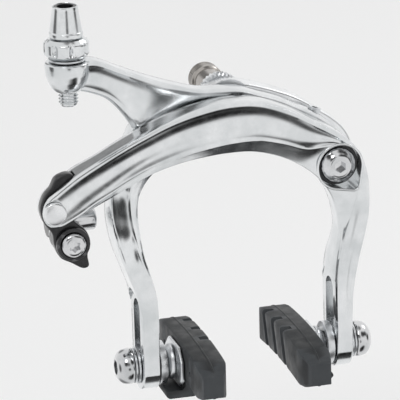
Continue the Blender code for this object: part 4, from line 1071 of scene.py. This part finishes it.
def studio():
    """A pale floor, a soft white room with darker patches for the metal to reflect, and lights."""
    floor_z = CAD_BOX[0].z - 0.06
    bm = bmesh.new()
    bmesh.ops.create_grid(bm, x_segments=2, y_segments=2, size=12.0)
    floor = add_object("floor", mesh_of(bm, "floor"))
    floor.location.z = floor_z
    pale = Shader("floor", 0.9, 0.0)
    pale.main.inputs["Base Color"].default_value = (*FLOOR_TONE, 1.0)
    floor.data.materials.append(pale.material)
    floor.visible_glossy = False
    world = bpy.data.worlds.new("studio")
    bpy.context.scene.world = world
    world.use_nodes = True
    tree = world.node_tree
    background = tree.nodes["Background"]
    direction = tree.nodes.new("ShaderNodeTexCoord").outputs["Generated"]
    level = None
    for towards, inner, outer, dark in DARK_PATCHES:
        dot = tree.nodes.new("ShaderNodeVectorMath")
        dot.operation = "DOT_PRODUCT"
        dot.inputs[1].default_value = Vector(towards).normalized()
        tree.links.new(direction, dot.inputs[0])
        fade = tree.nodes.new("ShaderNodeMapRange")
        fade.interpolation_type = "SMOOTHSTEP"
        fade.inputs["From Min"].default_value = math.cos(math.radians(outer))
        fade.inputs["From Max"].default_value = math.cos(math.radians(inner))
        fade.inputs["To Min"].default_value = 1.0
        fade.inputs["To Max"].default_value = dark
        tree.links.new(dot.outputs["Value"], fade.inputs["Value"])
        if level is None:
            level = fade.outputs["Result"]
        else:
            product = tree.nodes.new("ShaderNodeMath")
            product.operation = "MULTIPLY"
            tree.links.new(level, product.inputs[0])
            tree.links.new(fade.outputs["Result"], product.inputs[1])
            level = product.outputs["Value"]
    tree.links.new(level, background.inputs["Color"])
    background.inputs["Strength"].default_value = 1.0
    for place, size, power in LIGHTS:
        data = bpy.data.lights.new("softbox", "AREA")
        data.size = size
        data.energy = power
        lamp = add_object("softbox", data)
        lamp.location = place
        lamp.rotation_mode = "QUATERNION"
        lamp.rotation_quaternion = (-Vector(place)).to_track_quat("-Z", "Y")


# direction, half-angle of the dark core, half-angle where it ends, brightness
DARK_PATCHES = [
    ((0.20, -0.50, -0.84), 10, 26, 0.06),
    ((0.39, -0.63, -0.67), 5, 16, 0.15),
    ((-0.05, -1.0, -0.05), 2, 12, 0.08),
    ((0.45, -0.65, 0.62), 8, 22, 0.06),
    ((0.75, -0.43, 0.50), 6, 18, 0.10),
    ((-0.12, -0.87, 0.47), 4, 14, 0.30),
    ((-0.19, 0.89, 0.41), 6, 18, 0.30),
    ((-0.45, -0.72, 0.53), 6, 22, 0.06),
    ((0.96, -0.25, 0.10), 6, 20, 0.05),
    ((-0.98, 0.15, -0.15), 6, 20, 0.15),
    ((0.15, -0.05, 1.0), 5, 22, 0.25),
    ((-0.20, 0.50, -0.85), 8, 26, 0.30),
]
LIGHTS = [((-0.5, -0.7, 0.9), 0.4, 2.0), ((0.8, 0.3, 0.7), 0.3, 1.0)]    # place, size, watts
FLOOR_TONE = (0.93, 0.93, 0.93)


CAMERA_TARGET = Vector((-8.01, -7.43, -28.48)) * MM
CAMERA_DIRECTION = Vector((-0.2462, -0.9186, 0.3090)).normalized()    # from the target
CAMERA_DISTANCE = 0.9
CAMERA_LENS = 293.2           # for a sensor 36 mm wide
CAMERA_ROLL = math.radians(-1.5)


def camera():
    """A long lens in front, a little to the left and above."""
    data = bpy.data.cameras.new("camera")
    data.lens = CAMERA_LENS
    data.sensor_width = 36.0
    data.clip_start = 0.05
    data.clip_end = 50.0
    made = add_object("camera", data)
    made.location = CAMERA_TARGET + CAMERA_DIRECTION * CAMERA_DISTANCE
    made.rotation_mode = "QUATERNION"
    roll = Quaternion((0.0, 0.0, 1.0), CAMERA_ROLL)
    made.rotation_quaternion = (-CAMERA_DIRECTION).to_track_quat("-Z", "Y") @ roll
    bpy.context.scene.camera = made
    bpy.context.scene.view_settings.view_transform = "Standard"


camera()
front_arm()
rear_arm()
pivot_bracket()
mounting_pieces()
side_pivot_pieces()
adjuster_pieces()
quick_release()
for pad_side, pad_word in ((-1, "left"), (1, "right")):
    brake_shoe(pad_side, pad_word)
    backing_plate(pad_side, pad_word)
    pad_hardware(pad_side, pad_word)
return_spring()
dress_nodes()
studio()
